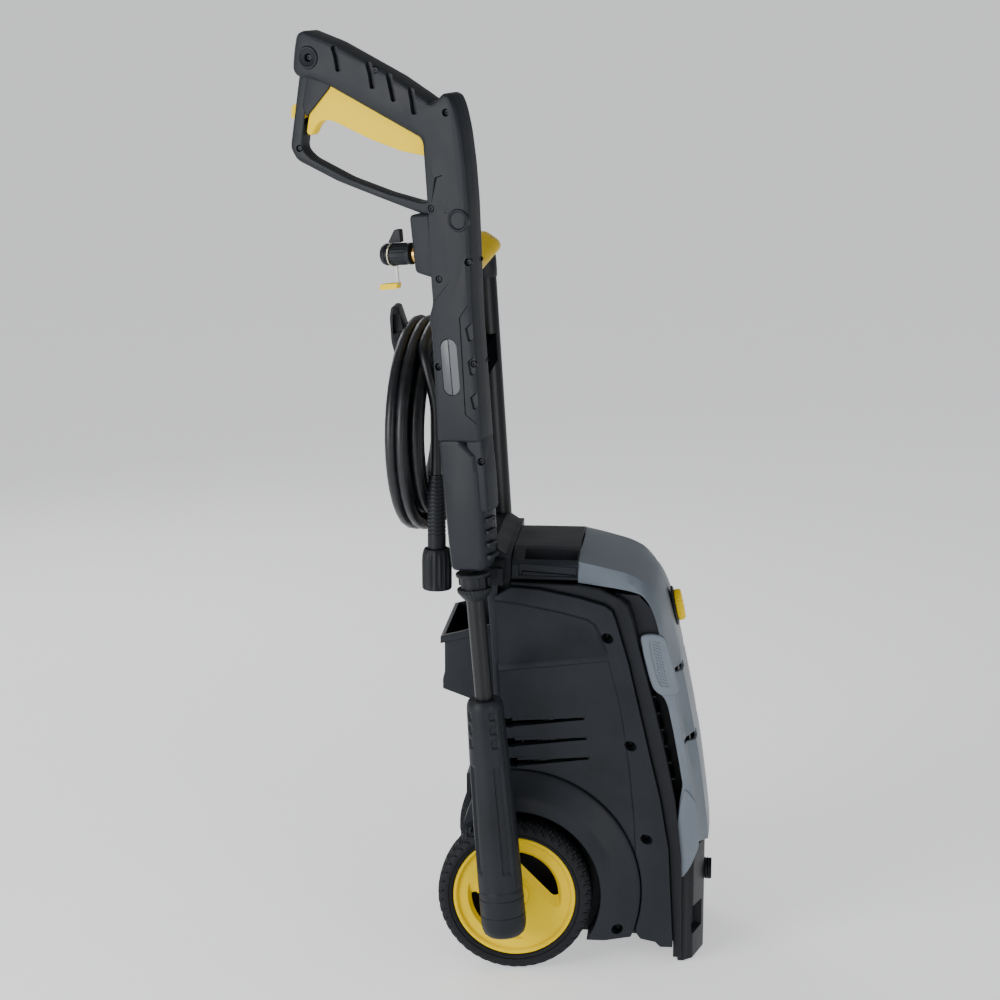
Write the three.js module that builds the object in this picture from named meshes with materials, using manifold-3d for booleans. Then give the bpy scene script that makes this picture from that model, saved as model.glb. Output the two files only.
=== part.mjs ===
// Pressure washer on two wheels, with its handle pushed in, its hose on the hook and its gun in the holder.
// Millimetres. +X is the front with the switch, +Y the left side, +Z up.
// While the pieces are made, x and y are zero on the axle's middle and z is zero on the floor.
import * as THREE from 'three';
import { mergeVertices } from 'three/addons/utils/BufferGeometryUtils.js';
import Module from 'manifold-3d';

const wasm = await Module();
wasm.setup();

// ---- driving dimensions -------------------------------------------------------------------------
const GAP = 0.3; // between pieces that touch

const WHEEL_R = 77.5;
const WHEEL_OUTER = 122; // |y| of the tyre's outer face
const WHEEL_INNER = 82; // |y| of the tyre's inner face
const DISC_R = 61.7; // yellow wheel disc
const AXLE_R = 6;
const ARCH_R = 126; // outer edge of the wheel arch
const ARCH_LIP_R = 101; // outer edge of its raised lip
const ARCH_WELL_R = 86; // inside of the wheel well

const SHELL_OUTER = 98; // |y| of a side shell's face
const SHELL_INNER = 84;
const FRAME_OUTER = 92; // |y| of the frame's side band
const BODY_HALF = 83.6; // |y| of the cap and the cover's side walls
const WALL = 3.5;

const HANDLE_FOOT = new THREE.Vector3(-31.5, 0, 414); // where the raked tubes cross the top of the body
const HANDLE_RAKE = THREE.MathUtils.degToRad(3.7);
const TUBE_SPREAD = 80; // |y| of both handle tubes
const TUBE_R = 12.5;
const TUBE_TOP = 285; // above the foot, along the tube
const INNER_TUBE_R = 10.7;

const GUN_ORIGIN = new THREE.Vector3(-6.7, -148, 48.9); // mouth of the nozzle
const GUN_LEAN = THREE.MathUtils.degToRad(4.783);
const GUN_TURN = THREE.MathUtils.degToRad(20); // the grip's end swings in behind the machine
const CASE_HALF = 20; // half thickness of the gun's casing
const GRIP_HALF = 17;
const GUARD_HALF = 8;
const TRIGGER_HALF = 7;
const LANCE_R = 8.8;

const HOSE_R = 5.9;
const COIL_CENTRE = new THREE.Vector3(-98, 0, 536.5);
const COIL_TURN = THREE.MathUtils.degToRad(-8);
const COIL_R = [72, 109]; // inside and outside of the hose coil
const COIL_WIDTH = 33;

const MOTOR_X = 50;
const MOTOR_R = 52;

// ---- finishes -----------------------------------------------------------------------------------
const finish = (color, roughness, metalness = 0) => ({ color, roughness, metalness });
const BLACK = finish(0x2b2e33, 0.55);
const GREY = finish(0x98a0a8, 0.45);
const YELLOW = finish(0xfdd017, 0.4);
const RUBBER = finish(0x33363a, 0.8);
const TUBE_BLACK = finish(0x1e2024, 0.3, 0.4);
const STEEL = finish(0xb9bcc0, 0.35, 1);
const BRASS = finish(0xc9a24a, 0.3, 1);
const ALLOY = finish(0xa9adb1, 0.5, 1);

// ---- solids -------------------------------------------------------------------------------------
// One set of shared vertices, no flat triangles, and faces that point outwards.
function weld(geometry) {
  const bare = new THREE.BufferGeometry();
  bare.setAttribute('position', geometry.getAttribute('position').clone());
  if (geometry.index) bare.setIndex(geometry.index.clone());
  const merged = mergeVertices(bare, 1e-4);
  const position = merged.getAttribute('position');
  const kept = [];
  for (let i = 0; i < merged.index.count; i += 3) {
    const [a, b, c] = [0, 1, 2].map((k) => merged.index.getX(i + k));
    if (a !== b && b !== c && c !== a) kept.push(a, b, c);
  }
  const corner = [0, 1, 2].map(() => new THREE.Vector3());
  let volume = 0;
  for (let i = 0; i < kept.length; i += 3) {
    corner.forEach((point, k) => point.fromBufferAttribute(position, kept[i + k]));
    volume += corner[0].dot(corner[1].cross(corner[2]));
  }
  if (volume < 0) kept.reverse();
  merged.setIndex(kept);
  return merged;
}

function toSolid(geometry) {
  const closed = weld(geometry);
  return new wasm.Manifold(new wasm.Mesh({
    numProp: 3,
    vertProperties: new Float32Array(closed.getAttribute('position').array),
    triVerts: new Uint32Array(closed.index.array),
  }));
}

function toGeometry(solid) {
  const mesh = solid.getMesh();
  const geometry = new THREE.BufferGeometry();
  geometry.setAttribute('position', new THREE.BufferAttribute(new Float32Array(mesh.vertProperties), 3));
  geometry.setIndex(Array.from(mesh.triVerts));
  return geometry;
}

const join = (...pieces) => toGeometry(pieces.map(toSolid).reduce((a, b) => a.add(b)));
const cut = (piece, ...tools) => toGeometry(tools.map(toSolid).reduce((a, b) => a.subtract(b),
  toSolid(piece)));
const common = (a, b) => toGeometry(toSolid(a).intersect(toSolid(b)));

function mirrored(geometry) {
  return weld(geometry.clone().scale(1, -1, 1));
}

function outline(points) {
  return new THREE.Shape(points.map(([a, b]) => new THREE.Vector2(a, b)));
}

// A corner outline whose every edge is moved inwards by the wall's thickness.
function inset(points, wall) {
  const area = points.reduce((sum, [x, y], i) => {
    const [nx, ny] = points[(i + 1) % points.length];
    return sum + x * ny - nx * y;
  }, 0);
  const side = Math.sign(area) * wall;
  const edges = points.map(([x, y], i) => {
    const [nx, ny] = points[(i + 1) % points.length];
    const length = Math.hypot(nx - x, ny - y);
    const [dx, dy] = [(nx - x) / length, (ny - y) / length];
    return { x: x - dy * side, y: y + dx * side, dx, dy };
  });
  return edges.map((edge, i) => {
    const before = edges[(i + edges.length - 1) % edges.length];
    const cross = before.dx * edge.dy - before.dy * edge.dx;
    if (Math.abs(cross) < 1e-6) return [edge.x, edge.y];
    const along = ((edge.x - before.x) * edge.dy - (edge.y - before.y) * edge.dx) / cross;
    return [before.x + before.dx * along, before.y + before.dy * along];
  });
}

// An outline in the plane, made thick along +Z between two heights, with bevelled edges if asked.
function slab(points, low, high, bevel = 0) {
  const shape = points instanceof THREE.Shape ? points : outline(points);
  const geometry = new THREE.ExtrudeGeometry(shape, {
    depth: high - low - 2 * bevel,
    curveSegments: 6,
    bevelEnabled: bevel > 0,
    bevelThickness: bevel,
    bevelSize: bevel,
    bevelOffset: -bevel,
    bevelSegments: 1,
  });
  return geometry.translate(0, 0, low + bevel);
}

// A side view (x, z) made thick along y.
function sideSlab(points, low, high, bevel = 0) {
  return slab(points, -high, -low, bevel).rotateX(Math.PI / 2);
}

// A front view (y, z) made thick along x.
function frontSlab(points, low, high, bevel = 0) {
  return slab(points, low, high, bevel).applyMatrix4(new THREE.Matrix4().makeBasis(
    new THREE.Vector3(0, 1, 0), new THREE.Vector3(0, 0, 1), new THREE.Vector3(1, 0, 0)));
}

function box(low, high) {
  const size = high.map((value, i) => value - low[i]);
  return new THREE.BoxGeometry(...size).translate(...low.map((value, i) => value + size[i] / 2));
}

// A profile of (radius, height) turned about +Z.
function turned(profile, segments = 20) {
  const closed = [...profile, profile[0]].map(([radius, height]) => new THREE.Vector2(radius, height));
  return new THREE.LatheGeometry(closed, segments).rotateX(Math.PI / 2);
}

const rod = (radius, low, high, segments = 16) => turned([[0, low], [radius, low], [radius, high],
  [0, high]], segments);
const ring = (inner, outer, low, high, segments = 20) => turned([[inner, low], [outer, low],
  [outer, high],
  [inner, high]], segments);
const alongX = (geometry) => geometry.rotateY(Math.PI / 2);
const alongY = (geometry) => geometry.rotateX(-Math.PI / 2);

function tubeAlong(points, radius, steps, sides = 10) {
  const section = Array.from({ length: sides }, (_, i) => {
    const angle = (i * 2 * Math.PI) / sides;
    return [radius * Math.cos(angle), radius * Math.sin(angle)];
  });
  const path = new THREE.CatmullRomCurve3(points.map((point) => new THREE.Vector3(...point)));
  return new THREE.ExtrudeGeometry(outline(section), { steps, extrudePath: path });
}

const washer = new THREE.Group();

function place(name, geometry, look, parent = washer) {
  const mesh = new THREE.Mesh(weld(geometry), new THREE.MeshStandardMaterial(look));
  mesh.name = name;
  parent.add(mesh);
  return mesh;
}

const SIDES = [['right', -1], ['left', 1]];
const forSide = (geometry, side) => (side < 0 ? geometry : mirrored(geometry));

// ---- frame and casings --------------------------------------------------------------------------
// The seam where the frame's band meets the side shells, and the band's front edge, from top to bottom.
const SEAM = [[-6, 391], [23, 389], [63, 381], [87, 374], [94, 369], [98, 359], [111, 315], [123, 264],
  [134, 217], [144, 176], [153, 124], [159, 22]];
const BAND_FRONT = [[-6, 395], [60, 393], [82, 389], [100, 381], [109, 373], [114, 359], [119, 339],
  [127, 308],
  [138, 267], [150, 216], [159, 174], [166, 111], [167, 7]];
const shiftX = (points, dx) => points.map(([x, z]) => [x + dx, z]);

function frontFrame() {
  const band = [...SEAM, [159, 7], ...[...BAND_FRONT].reverse()];
  const wallLine = BAND_FRONT.slice(3, -1);
  const wall = [...shiftX(wallLine, -GAP), [166, 30],
    [166 - WALL, 30], ...shiftX([...wallLine].reverse(), -WALL - GAP)];
  return join(
    sideSlab(band, -FRAME_OUTER, -SHELL_INNER, 1.5),
    sideSlab(band, SHELL_INNER, FRAME_OUTER, 1.5),
    sideSlab(wall, -SHELL_INNER - 1, SHELL_INNER + 1),
  );
}

// Each port's name, y, height, radius and reach.
const PORTS = [['water_inlet', -28, 80, 11.5, 196.5], ['pressure_outlet', 28, 60, 10.5, 193]];
const portHole = ([, y, z, radius]) => alongX(rod(radius + GAP, 120, 220)).translate(0, y, z);
place('front_frame', cut(frontFrame(), ...PORTS.map(portHole)), BLACK);

function topCap() {
  const roof = [[-BODY_HALF, 395.5], [-BODY_HALF, 412], [-79, 414.5], [-45, 421], [45, 421], [79, 414.5],
    [BODY_HALF, 412], [BODY_HALF, 395.5]];
  const under = [[-BODY_HALF + WALL, 380], [-BODY_HALF + WALL, 409], [-44, 417.4], [44, 417.4],
    [BODY_HALF - WALL, 409], [BODY_HALF - WALL, 380]];
  const gripPocket = [[4, 400], [59, 396], [59, 410], [4, 410]];
  return cut(frontSlab(roof, -6.2, 59.7), frontSlab(under, -2.7, 80),
    sideSlab(gripPocket, -90, -BODY_HALF + 1.2), sideSlab(gripPocket, BODY_HALF - 1.2, 90));
}
place('top_cap', topCap(), BLACK);

const SHELL_EDGE = [[-21, 381], [-19, 337], [-16, 275], [-10, 203]];
const SHELL_FOOT = [[126, 28], [141, 25], [146, 20], [158.5, 20]];
const archBlank = (radius, low, high) => alongY(rod(radius, low, high, 40)).translate(0, 0, WHEEL_R);

function sideShell() {
  const seam = shiftX(SEAM, -GAP).map(([x, z]) => [x, z - GAP]);
  const face = [...SHELL_EDGE, [-10, 150], [100, 60], ...SHELL_FOOT, ...[...seam].reverse().slice(1)];
  const vents = [0, 1, 2].map((i) => {
    const z = 258 - 20 * i;
    const x = -9 + 2 * i;
    return sideSlab([[x, z - 10.5], [x + 78, z - 1], [x + 78, z + 3], [x + 4, z + 1]], -110, -80);
  });
  return cut(
    sideSlab(face, -SHELL_OUTER, -SHELL_INNER, 2),
    sideSlab(inset(face, 4), -SHELL_OUTER + WALL, -SHELL_INNER + 1),
    archBlank(ARCH_R + GAP, -110, -70),
    ...vents,
  );
}

function wheelArch() {
  const keep = [[-52, 30.5], [125.5, 30.5], [130, 110], [100, 210], [-52, 210]];
  const lip = turned([[ARCH_WELL_R, -112], [ARCH_LIP_R, -112], [ARCH_R, -101], [ARCH_R, -77], [0, -77],
    [0, -80.4],
    [ARCH_WELL_R, -80.4]], 40);
  return cut(
    common(alongY(lip).translate(0, 0, WHEEL_R),
      sideSlab(keep, -130, -60)),
    alongY(rod(AXLE_R + GAP, -140, 140)).translate(0, 0, WHEEL_R),
  );
}

function rearPanel() {
  const upper = [[-27, 403.5], [-18, 206], [-14, 206], [-23, 403.5]];
  const lower = [[-18.2, 210], [-52, 190], [-52, 145], [-34, 36], [-30, 36], [-48, 146], [-48, 187.5],
    [-14.2, 207.6]];
  return cut(
    join(sideSlab(upper, -BODY_HALF, BODY_HALF), sideSlab(lower, -76.4, 76.4)),
    alongX(rod(6.3, -60, 0)).translate(0, 55, 232),
  );
}

SIDES.forEach(([side, sign]) => {
  place(`${side}_side_shell`, forSide(sideShell(), sign), BLACK);
  place(`${side}_wheel_arch`, forSide(wheelArch(), sign), BLACK);
});
place('rear_panel', rearPanel(), BLACK);
place('base_tray', sideSlab([[-33.5, 31.5], [150, 24], [150, 28], [-29, 35.5]], -76.4, 76.4), BLACK);

const raked = (geometry) => geometry.rotateY(-HANDLE_RAKE).translate(...HANDLE_FOOT.toArray());
const tubeClearance = (sign) => raked(rod(TUBE_R + GAP, -60, 120).translate(0, sign * TUBE_SPREAD, 0));

function handleMount() {
  const socket = [[-47, 404], [-47, 429], [-24, 429], [-12, 421], [-6.6, 421], [-6.6, 383], [-22, 383],
    [-22.4, 404]];
  return cut(sideSlab(socket, -BODY_HALF, BODY_HALF, 1), tubeClearance(-1), tubeClearance(1),
    box([-60, -100, 380], [-23, -76, 440]), box([-60, 76, 380], [-23, 100, 440]));
}
place('handle_mount', handleMount(), BLACK);

// ---- front cover, bumper and controls -----------------------------------------------------------
// Each row across the cover: side edge, crease and middle, as (x, |y|, z), from the top cap to the mouth.
const COVER_ROWS = [
  [[60, BODY_HALF, 393.5], [60, 80, 413], [60, 45, 418]],
  [[82, BODY_HALF, 390.5], [81, 79, 409], [78, 45, 413.5]],
  [[111, BODY_HALF, 386], [104, 77, 404], [100, 45, 406]],
  [[124, BODY_HALF, 381], [121, 74, 397], [119, 46, 399]],
  [[131, BODY_HALF, 372], [132, 70, 385], [135, 46, 388]],
  [[138, BODY_HALF, 352], [143, 65, 360], [148, 46, 364]],
  [[145, 85, 322], [151, 62, 324], [158, 46, 324]],
  [[153, 85, 284], [159, 60, 284], [167, 46, 284]],
  [[161, 85, 244], [166, 59, 244], [175, 46, 244]],
  [[168, 85, 206], [173, 58, 206], [182, 46, 206]],
  [[172, 85, 168], [180, 58, 166], [187.5, 46, 166]],
  [[173, 84, 138], [185, 57, 134], [192, 46, 130]],
  [[171, 84, 121], [184, 56, 119], [192.5, 45, 118.5]],
];

// A closed shell between the cover's outside and a copy of it moved inwards.
function coverShell() {
  const across = ([edge, crease, middle]) => [
    ...[edge, crease, middle].map(([x, y, z]) => [x, -y, z]),
    [middle[0] + 1, 0, middle[2] + 0.5],
    ...[middle, crease, edge],
  ];
  const inner = COVER_ROWS.map((row, i) => {
    const before = COVER_ROWS[Math.max(i - 1, 0)][2];
    const after = COVER_ROWS[Math.min(i + 1, COVER_ROWS.length - 1)][2];
    const length = Math.hypot(after[0] - before[0], after[2] - before[2]);
    const [nx, nz] = [-(before[2] - after[2]) / length, (before[0] - after[0]) / length];
    return row.map(([x, y, z], column) => [
      x + (column === 0 || i === 0 ? 0 : nx * WALL),
      y - (column === 2 ? 0 : WALL),
      z + (column === 0 ? 0 : nz * WALL),
    ]);
  });
  const outerGrid = COVER_ROWS.map(across);
  const innerGrid = inner.map(across);
  const columns = outerGrid[0].length;
  const rows = outerGrid.length;
  const vertices = [...outerGrid.flat(), ...innerGrid.flat()];
  const outerAt = (i, j) => i * columns + j;
  const innerAt = (i, j) => rows * columns + i * columns + j;
  const faces = [];
  const quad = (a, b, c, d) => faces.push(a, b, c, a, c, d);
  for (let i = 0; i + 1 < rows; i += 1) {
    for (let j = 0; j + 1 < columns; j += 1) {
      quad(outerAt(i, j), outerAt(i + 1, j), outerAt(i + 1, j + 1), outerAt(i, j + 1));
      quad(innerAt(i, j), innerAt(i, j + 1), innerAt(i + 1, j + 1), innerAt(i + 1, j));
    }
    quad(outerAt(i, 0), innerAt(i, 0), innerAt(i + 1, 0), outerAt(i + 1, 0));
    quad(outerAt(i, columns - 1), outerAt(i + 1, columns - 1), innerAt(i + 1, columns - 1), innerAt(i,
      columns - 1));
  }
  for (let j = 0; j + 1 < columns; j += 1) {
    quad(outerAt(0, j), outerAt(0, j + 1), innerAt(0, j + 1), innerAt(0, j));
    quad(outerAt(rows - 1, j), innerAt(rows - 1, j), innerAt(rows - 1, j + 1), outerAt(rows - 1, j + 1));
  }
  const geometry = new THREE.BufferGeometry();
  geometry.setAttribute('position', new THREE.Float32BufferAttribute(vertices.flat(), 3));
  geometry.setIndex(faces);
  return geometry;
}

// The cover's arm down each side: a wide pad above, a slim middle and a small pad at its foot.
const ARM = [[121, 342], [125, 322], [131.5, 297], [138.5, 284], [145.5, 279], [149.5, 270], [155.5, 245],
  [161.5, 214], [166, 188], [162.5, 170], [164.4,
    140], [166, 122], [174, 122], [176, 140], [175, 166], [174, 188],
  [170, 210], [163, 245], [155, 284], [148, 322], [143, 342]];
const ARM_TIP = [[166.2, 127], [167.2, 108], [168, 87], [175, 98], [180, 112], [180, 127]];

const FRONT_TILT = Math.atan2(10, 47); // the front face leans back
const KNOB_SEAT = new THREE.Vector3(152.6, 0, 351);
const onFront = (geometry) => geometry.rotateY(Math.PI / 2 - FRONT_TILT).translate(...KNOB_SEAT.toArray());

const arms = SIDES.flatMap(([, sign]) => [forSide(sideSlab(ARM, -88.5, -82, 1), sign),
  forSide(sideSlab(ARM_TIP, -88.5, -84.3, 1), sign)]);
place('front_cover', cut(join(coverShell(), ...arms), onFront(rod(7, -20, 20))), GREY);

function bumper() {
  const front = [[168, -83], [172, -79], [178.5, -75], [189, -40], [189, 40], [178.5, 75], [172, 79],
    [168, 83]];
  const hollow = [[150, -78], [174, -72.5], [185, -38], [185, 38], [174, 72.5], [150, 78]];
  return cut(slab(front, 0, 117.5, 1), slab(hollow, 4, 130), ...PORTS.map(portHole));
}
place('front_bumper', bumper(), BLACK);

place('switch_bezel', onFront(ring(7, 20.5, 0.6, 3)), BLACK);
const knob = join(onFront(turned([[0, 3.4], [17.5, 3.4], [17, 9], [15.5, 10.4],
  [0, 10.4]])), onFront(rod(6, -14, 4)));
place('switch_knob', knob, YELLOW);
place('switch_box', box([124, -18, 333], [134.5, 18, 364]), BLACK);
PORTS.forEach(([name, y, z, radius, reach]) => {
  place(name, alongX(ring(radius - 4, radius, 105, reach)).translate(0, y, z),
    name === 'water_inlet' ? BLACK : BRASS);
});
place('mains_gland', alongX(turned([[2.5, -36], [5.5, -36], [8.5, -22], [8.5, -19.8], [6, -19.8],
  [6, -12], [2.5, -12]]))
  .translate(0, 55, 232), RUBBER);

// ---- accessory bin ------------------------------------------------------------------------------
function bin() {
  const body = [[-75, 326], [-75, 294], [-77, 286], [-77, 276], [-44, 264], [-21.4, 257], [-25.2, 344]];
  const rim = [[-79, 331], [-79, 323.5], [-25.2, 337], [-25.5, 345]];
  const inside = [[-76.4, 340], [-72.6, 324], [-72.6, 294], [-74.5, 285], [-74.5, 278], [-44, 267],
    [-24.5, 261],
    [-28, 352], [-76.4, 352]];
  return cut(join(sideSlab(body, -65.5, 65.5), sideSlab(rim, -68, 68)), sideSlab(inside, -63, 63));
}
place('accessory_bin', bin(), BLACK);

// ---- wheels -------------------------------------------------------------------------------------
const onAxle = (geometry) => alongY(geometry).translate(0, 0, WHEEL_R);
const axleTurned = (profile, segments) => onAxle(turned(profile.map(([radius, y]) => [radius, -y]),
  segments));
place('axle', onAxle(rod(AXLE_R, -113, 113)), STEEL);

// The disc has two openings, each between a chord and an arc, one opposite the other.
function discOpening(turn) {
  const [arc, chord] = [44, 21];
  const half = Math.acos(chord / arc) - 0.08;
  const steps = 8;
  const points = [];
  for (let i = 0; i <= steps; i += 1) {
    const angle = turn - half + (2 * half * i) / steps;
    points.push([arc * Math.cos(angle), arc * Math.sin(angle)]);
  }
  return sideSlab(points, -140, -60).translate(0, 0, WHEEL_R);
}

function wheelDisc() {
  const profile = [[AXLE_R + GAP, 86], [13, 86], [13, 110], [56, 110], [58, 86], [DISC_R, 86],
    [DISC_R, 119],
    [58, 119], [53, 115], [13, 115], [12, 118], [0, 118], [0, 114], [AXLE_R + GAP, 114]];
  return cut(axleTurned(profile, 36), discOpening(Math.PI / 4), discOpening(Math.PI * 5 / 4));
}

SIDES.forEach(([side, sign]) => {
  const tyre = axleTurned([[DISC_R + GAP, 84], [71, WHEEL_INNER], [WHEEL_R, 88], [WHEEL_R, 116],
    [71, WHEEL_OUTER],
    [DISC_R + GAP, 120]], 40);
  place(`${side}_tyre`, forSide(tyre, sign), RUBBER);
  place(`${side}_wheel_disc`, forSide(wheelDisc(), sign), YELLOW);
});

// ---- handle and hose hook -----------------------------------------------------------------------
const handle = new THREE.Group();
handle.position.copy(HANDLE_FOOT);
handle.rotation.y = -HANDLE_RAKE;
washer.add(handle);

SIDES.forEach(([side, sign]) => {
  const y = sign * TUBE_SPREAD;
  place(`${side}_outer_tube`, ring(TUBE_R - 1.5, TUBE_R, -2, TUBE_TOP).translate(0, y, 0), TUBE_BLACK,
    handle);
  place(`${side}_inner_tube`, ring(INNER_TUBE_R - 1.5, INNER_TUBE_R, 20, TUBE_TOP + 18).translate(0, y,
    0), TUBE_BLACK, handle);
});

function handGrip() {
  const foot = TUBE_TOP + GAP;
  const section = [[-18, foot], [-18, foot + 12], [-10, foot + 23], [3, foot + 23], [16, foot + 13],
    [18.5, foot + 6],
    [14, foot]];
  const bores = SIDES.map(([, sign]) => rod(INNER_TUBE_R + GAP, TUBE_TOP, TUBE_TOP + 18.3)
    .translate(0, sign * TUBE_SPREAD, 0));
  return cut(sideSlab(section, -98, 98, 2), ...bores);
}
place('hand_grip', handGrip(), YELLOW, handle);

const clearTube = (sign) => rod(TUBE_R + GAP, 0, TUBE_TOP).translate(0, sign * TUBE_SPREAD, 0);
place('hook_bracket', cut(box([-14, -76, 176],
  [9, 76, 204]), clearTube(-1), clearTube(1)), BLACK, handle);

const HOOK = [[-59.3, 592], [-59.3, 603.5], [-113, 603.5], [-117.8, 606], [-117.8, 631], [-126, 656],
  [-133, 656],
  [-134.5, 645], [-133, 620], [-129, 606], [-120, 592]];
const hookCap = alongX(turned([[0, -138], [7.5, -138], [9, -136.5], [9, -130],
  [0, -130]])).translate(0, 0, 636);
place('hose_hook', join(sideSlab(HOOK, -16, 16, 1.5), hookCap), BLACK);

// ---- hose ---------------------------------------------------------------------------------------
const coil = place('hose_coil', alongX(ring(COIL_R[0], COIL_R[1], -COIL_WIDTH / 2, COIL_WIDTH / 2, 32)),
  RUBBER);
coil.position.copy(COIL_CENTRE);
coil.rotation.z = COIL_TURN;

const NEAR_END = [-81.7, -70];
const FAR_END = [-63.2, 70];
const drop = ([x, y], high, low) => tubeAlong([[x, y, high], [x, y, (high + low) / 2],
  [x, y, low]], HOSE_R, 4);
place('hose_drop_right', drop(NEAR_END, 590, 497.3), RUBBER);
place('hose_drop_left', drop(FAR_END, 590, 450.3), RUBBER);
place('hose_boot', turned([[0, 423], [9.3, 423], [9.3, 492], [7.5, 497],
  [0, 497]]).translate(...NEAR_END, 0), BLACK);
place('hose_nut', turned([[0, 403], [11, 403], [11, 381], [14, 381], [15.4, 384], [15.4, 419],
  [13, 422.7], [0, 422.7]])
  .translate(...NEAR_END, 0), BLACK);
place('hose_plug', turned([[0, 400], [6, 400], [6, 412], [9.5, 414], [9.5, 432], [8.5, 434], [8.5, 450],
  [0, 450]])
  .translate(...FAR_END, 0), BRASS);

// ---- gun and lance ------------------------------------------------------------------------------
// In the gun's own frame x points to its spine, y runs up the lance from the nozzle's mouth and z points out
// to the machine's right.
const gun = new THREE.Group();
const lanceUp = new THREE.Vector3(-Math.sin(GUN_LEAN), 0, Math.cos(GUN_LEAN));
const gunSide = new THREE.Vector3(Math.cos(GUN_TURN), -Math.sin(GUN_TURN), 0);
gunSide.addScaledVector(lanceUp, -gunSide.dot(lanceUp)).normalize();
const gunOut = new THREE.Vector3().crossVectors(gunSide, lanceUp);
gun.quaternion.setFromRotationMatrix(new THREE.Matrix4().makeBasis(gunSide, lanceUp, gunOut));
gun.position.copy(GUN_ORIGIN);
washer.add(gun);

const upLance = (geometry) => geometry.rotateX(-Math.PI / 2);

const CASE = [[-9, 712], [-9, 782], [2, 819], [14, 821], [22, 825], [31, 822], [37, 810], [40, 790],
  [42, 725],
  [40, 633], [36, 538], [32, 500], [-19,
    500], [-17, 538], [-15, 605], [-16, 618], [-11, 632], [-11, 652]];
const INLET_BLOCK = [[-6, 716], [-28, 716], [-27, 664], [-6, 655]];
const GRIP = [[6, 822], [-6, 829], [-30, 845], [-60, 862], [-90, 879], [-126, 890], [-131, 888],
  [-137, 857],
  [-133, 850], [-118, 848], [-100, 839.5], [-3, 783]];
const GUARD = [[-131, 862], [-151, 784], [-145, 772], [-103, 750], [-61, 733], [-28, 720], [-4, 711],
  [-4, 727],
  [-17, 727], [-50, 737], [-91, 753], [-130, 774], [-138, 783], [-119, 862]];
const WEB = [[-124, 850], [-100, 841], [-102, 837], [-129, 812], [-133, 822]];
const TRIGGER = [[-100, 851], [-12, 800], [2, 796], [8, 788], [4, 778], [-7, 768], [-35, 775], [-65, 787],
  [-105, 808], [-118, 809], [-124, 800], [-128, 797], [-132.5, 801], [-127.5, 816], [-104, 839]];
const TRIGGER_ROOM = [[10, 797], [-10, 812], [-98, 868], [-124, 868], [-137, 812], [-136, 796],
  [-128, 793],
  [-118, 800], [-104, 800], [-35, 768], [-12, 760], [6, 764], [12, 786]];
const LOCK_ROOM = [[-150, 830], [-125, 830], [-125, 800], [-150, 800]];
const PIVOT = [0, 787];
const VALVE_X = 6;

function gunBody() {
  const solid = join(
    slab(CASE, -CASE_HALF, CASE_HALF, 5),
    slab(INLET_BLOCK, -15, 15, 3),
    slab(GRIP, -GRIP_HALF, GRIP_HALF, 5),
    slab(GUARD, -GUARD_HALF, GUARD_HALF, 1.5),
    slab(WEB, -9, 9),
    rod(10.5, -18.5, 18.5).translate(-116, 867, 0),
    rod(10.5, 10, 22).translate(29, 711, 0),
  );
  return cut(
    solid,
    slab(inset(CASE, 4), -CASE_HALF + WALL, CASE_HALF - WALL),
    slab(inset(GRIP, 5), -GRIP_HALF + WALL, GRIP_HALF - WALL),
    slab(TRIGGER_ROOM, -TRIGGER_HALF - 0.5, TRIGGER_HALF + 0.5),
    slab(LOCK_ROOM, -3.3, 3.3),
    upLance(rod(5.4, 480, 660)),
    rod(2.3, -15, 15).translate(...PIVOT, 0),
    alongX(rod(6.4, -40, 0)).translate(0, 678, 0),
  );
}

const body = gunBody();
place('right_gun_shell', common(body, box([-200, 400, 0.15], [100, 950, 60])), BLACK, gun);
place('left_gun_shell', common(body, box([-200, 400, -60], [100, 950, -0.15])), BLACK, gun);
place('trigger', cut(slab(TRIGGER, -TRIGGER_HALF, TRIGGER_HALF, 1.5), rod(2.3, -15,
  15).translate(...PIVOT, 0)), YELLOW, gun);
place('trigger_pin', rod(2, -14.5, 14.5, 16).translate(...PIVOT, 0), STEEL, gun);
const lock = slab([[-150, 812], [-148, 823], [-141, 826], [-134, 822], [-133.5, 812],
  [-141, 809]], -3, 3, 0.8);
place('trigger_lock', lock, YELLOW, gun);
const valve = upLance(turned([[0, 645], [9, 645], [9, 742], [3, 742], [3, 774], [0, 774]]));
place('gun_valve', valve.translate(VALVE_X, 0, 0), BRASS, gun);
place('gun_pipe', upLance(rod(5, 371, 644.6)), STEEL, gun);

const stadium = new THREE.Shape().absarc(4.5, 590, 8.5, 0, Math.PI).absarc(4.5, 554, 8.5, Math.PI,
  Math.PI * 2);
place('gun_window', slab(stadium, 20.3, 21.3), GREY, gun);

place('inlet_stub', alongX(turned([[3, -33.6], [5.9, -33.6], [5.9, -31.4], [8.5, -31.4], [8.5, -28.3],
  [6.1, -28.3], [6.1, -10],
  [3, -10]])).translate(0, 678, 0), BRASS, gun);
const coupler = alongX(turned([[4.8, -65], [9, -65], [10.5, -63], [10.5, -33.9], [3, -33.9], [3, -48],
  [4.8, -48]]));
place('inlet_coupler', coupler.translate(0, 678.5, 0), BLACK, gun);
place('coupler_lever', slab([[-58, 689.4], [-50, 702], [-44, 702],
  [-44, 689.4]], -3.5, 3.5, 0.8), BLACK, gun);
const strap = slab([[-54.5, 667.7], [-51, 667.7], [-51, 649], [-54, 649]], -2, 2);
place('coupler_tag', join(strap, slab([[-71, 645], [-52, 646], [-51, 651.7],
  [-70, 650.5]], -4.5, 4.5, 1)), YELLOW, gun);

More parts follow.
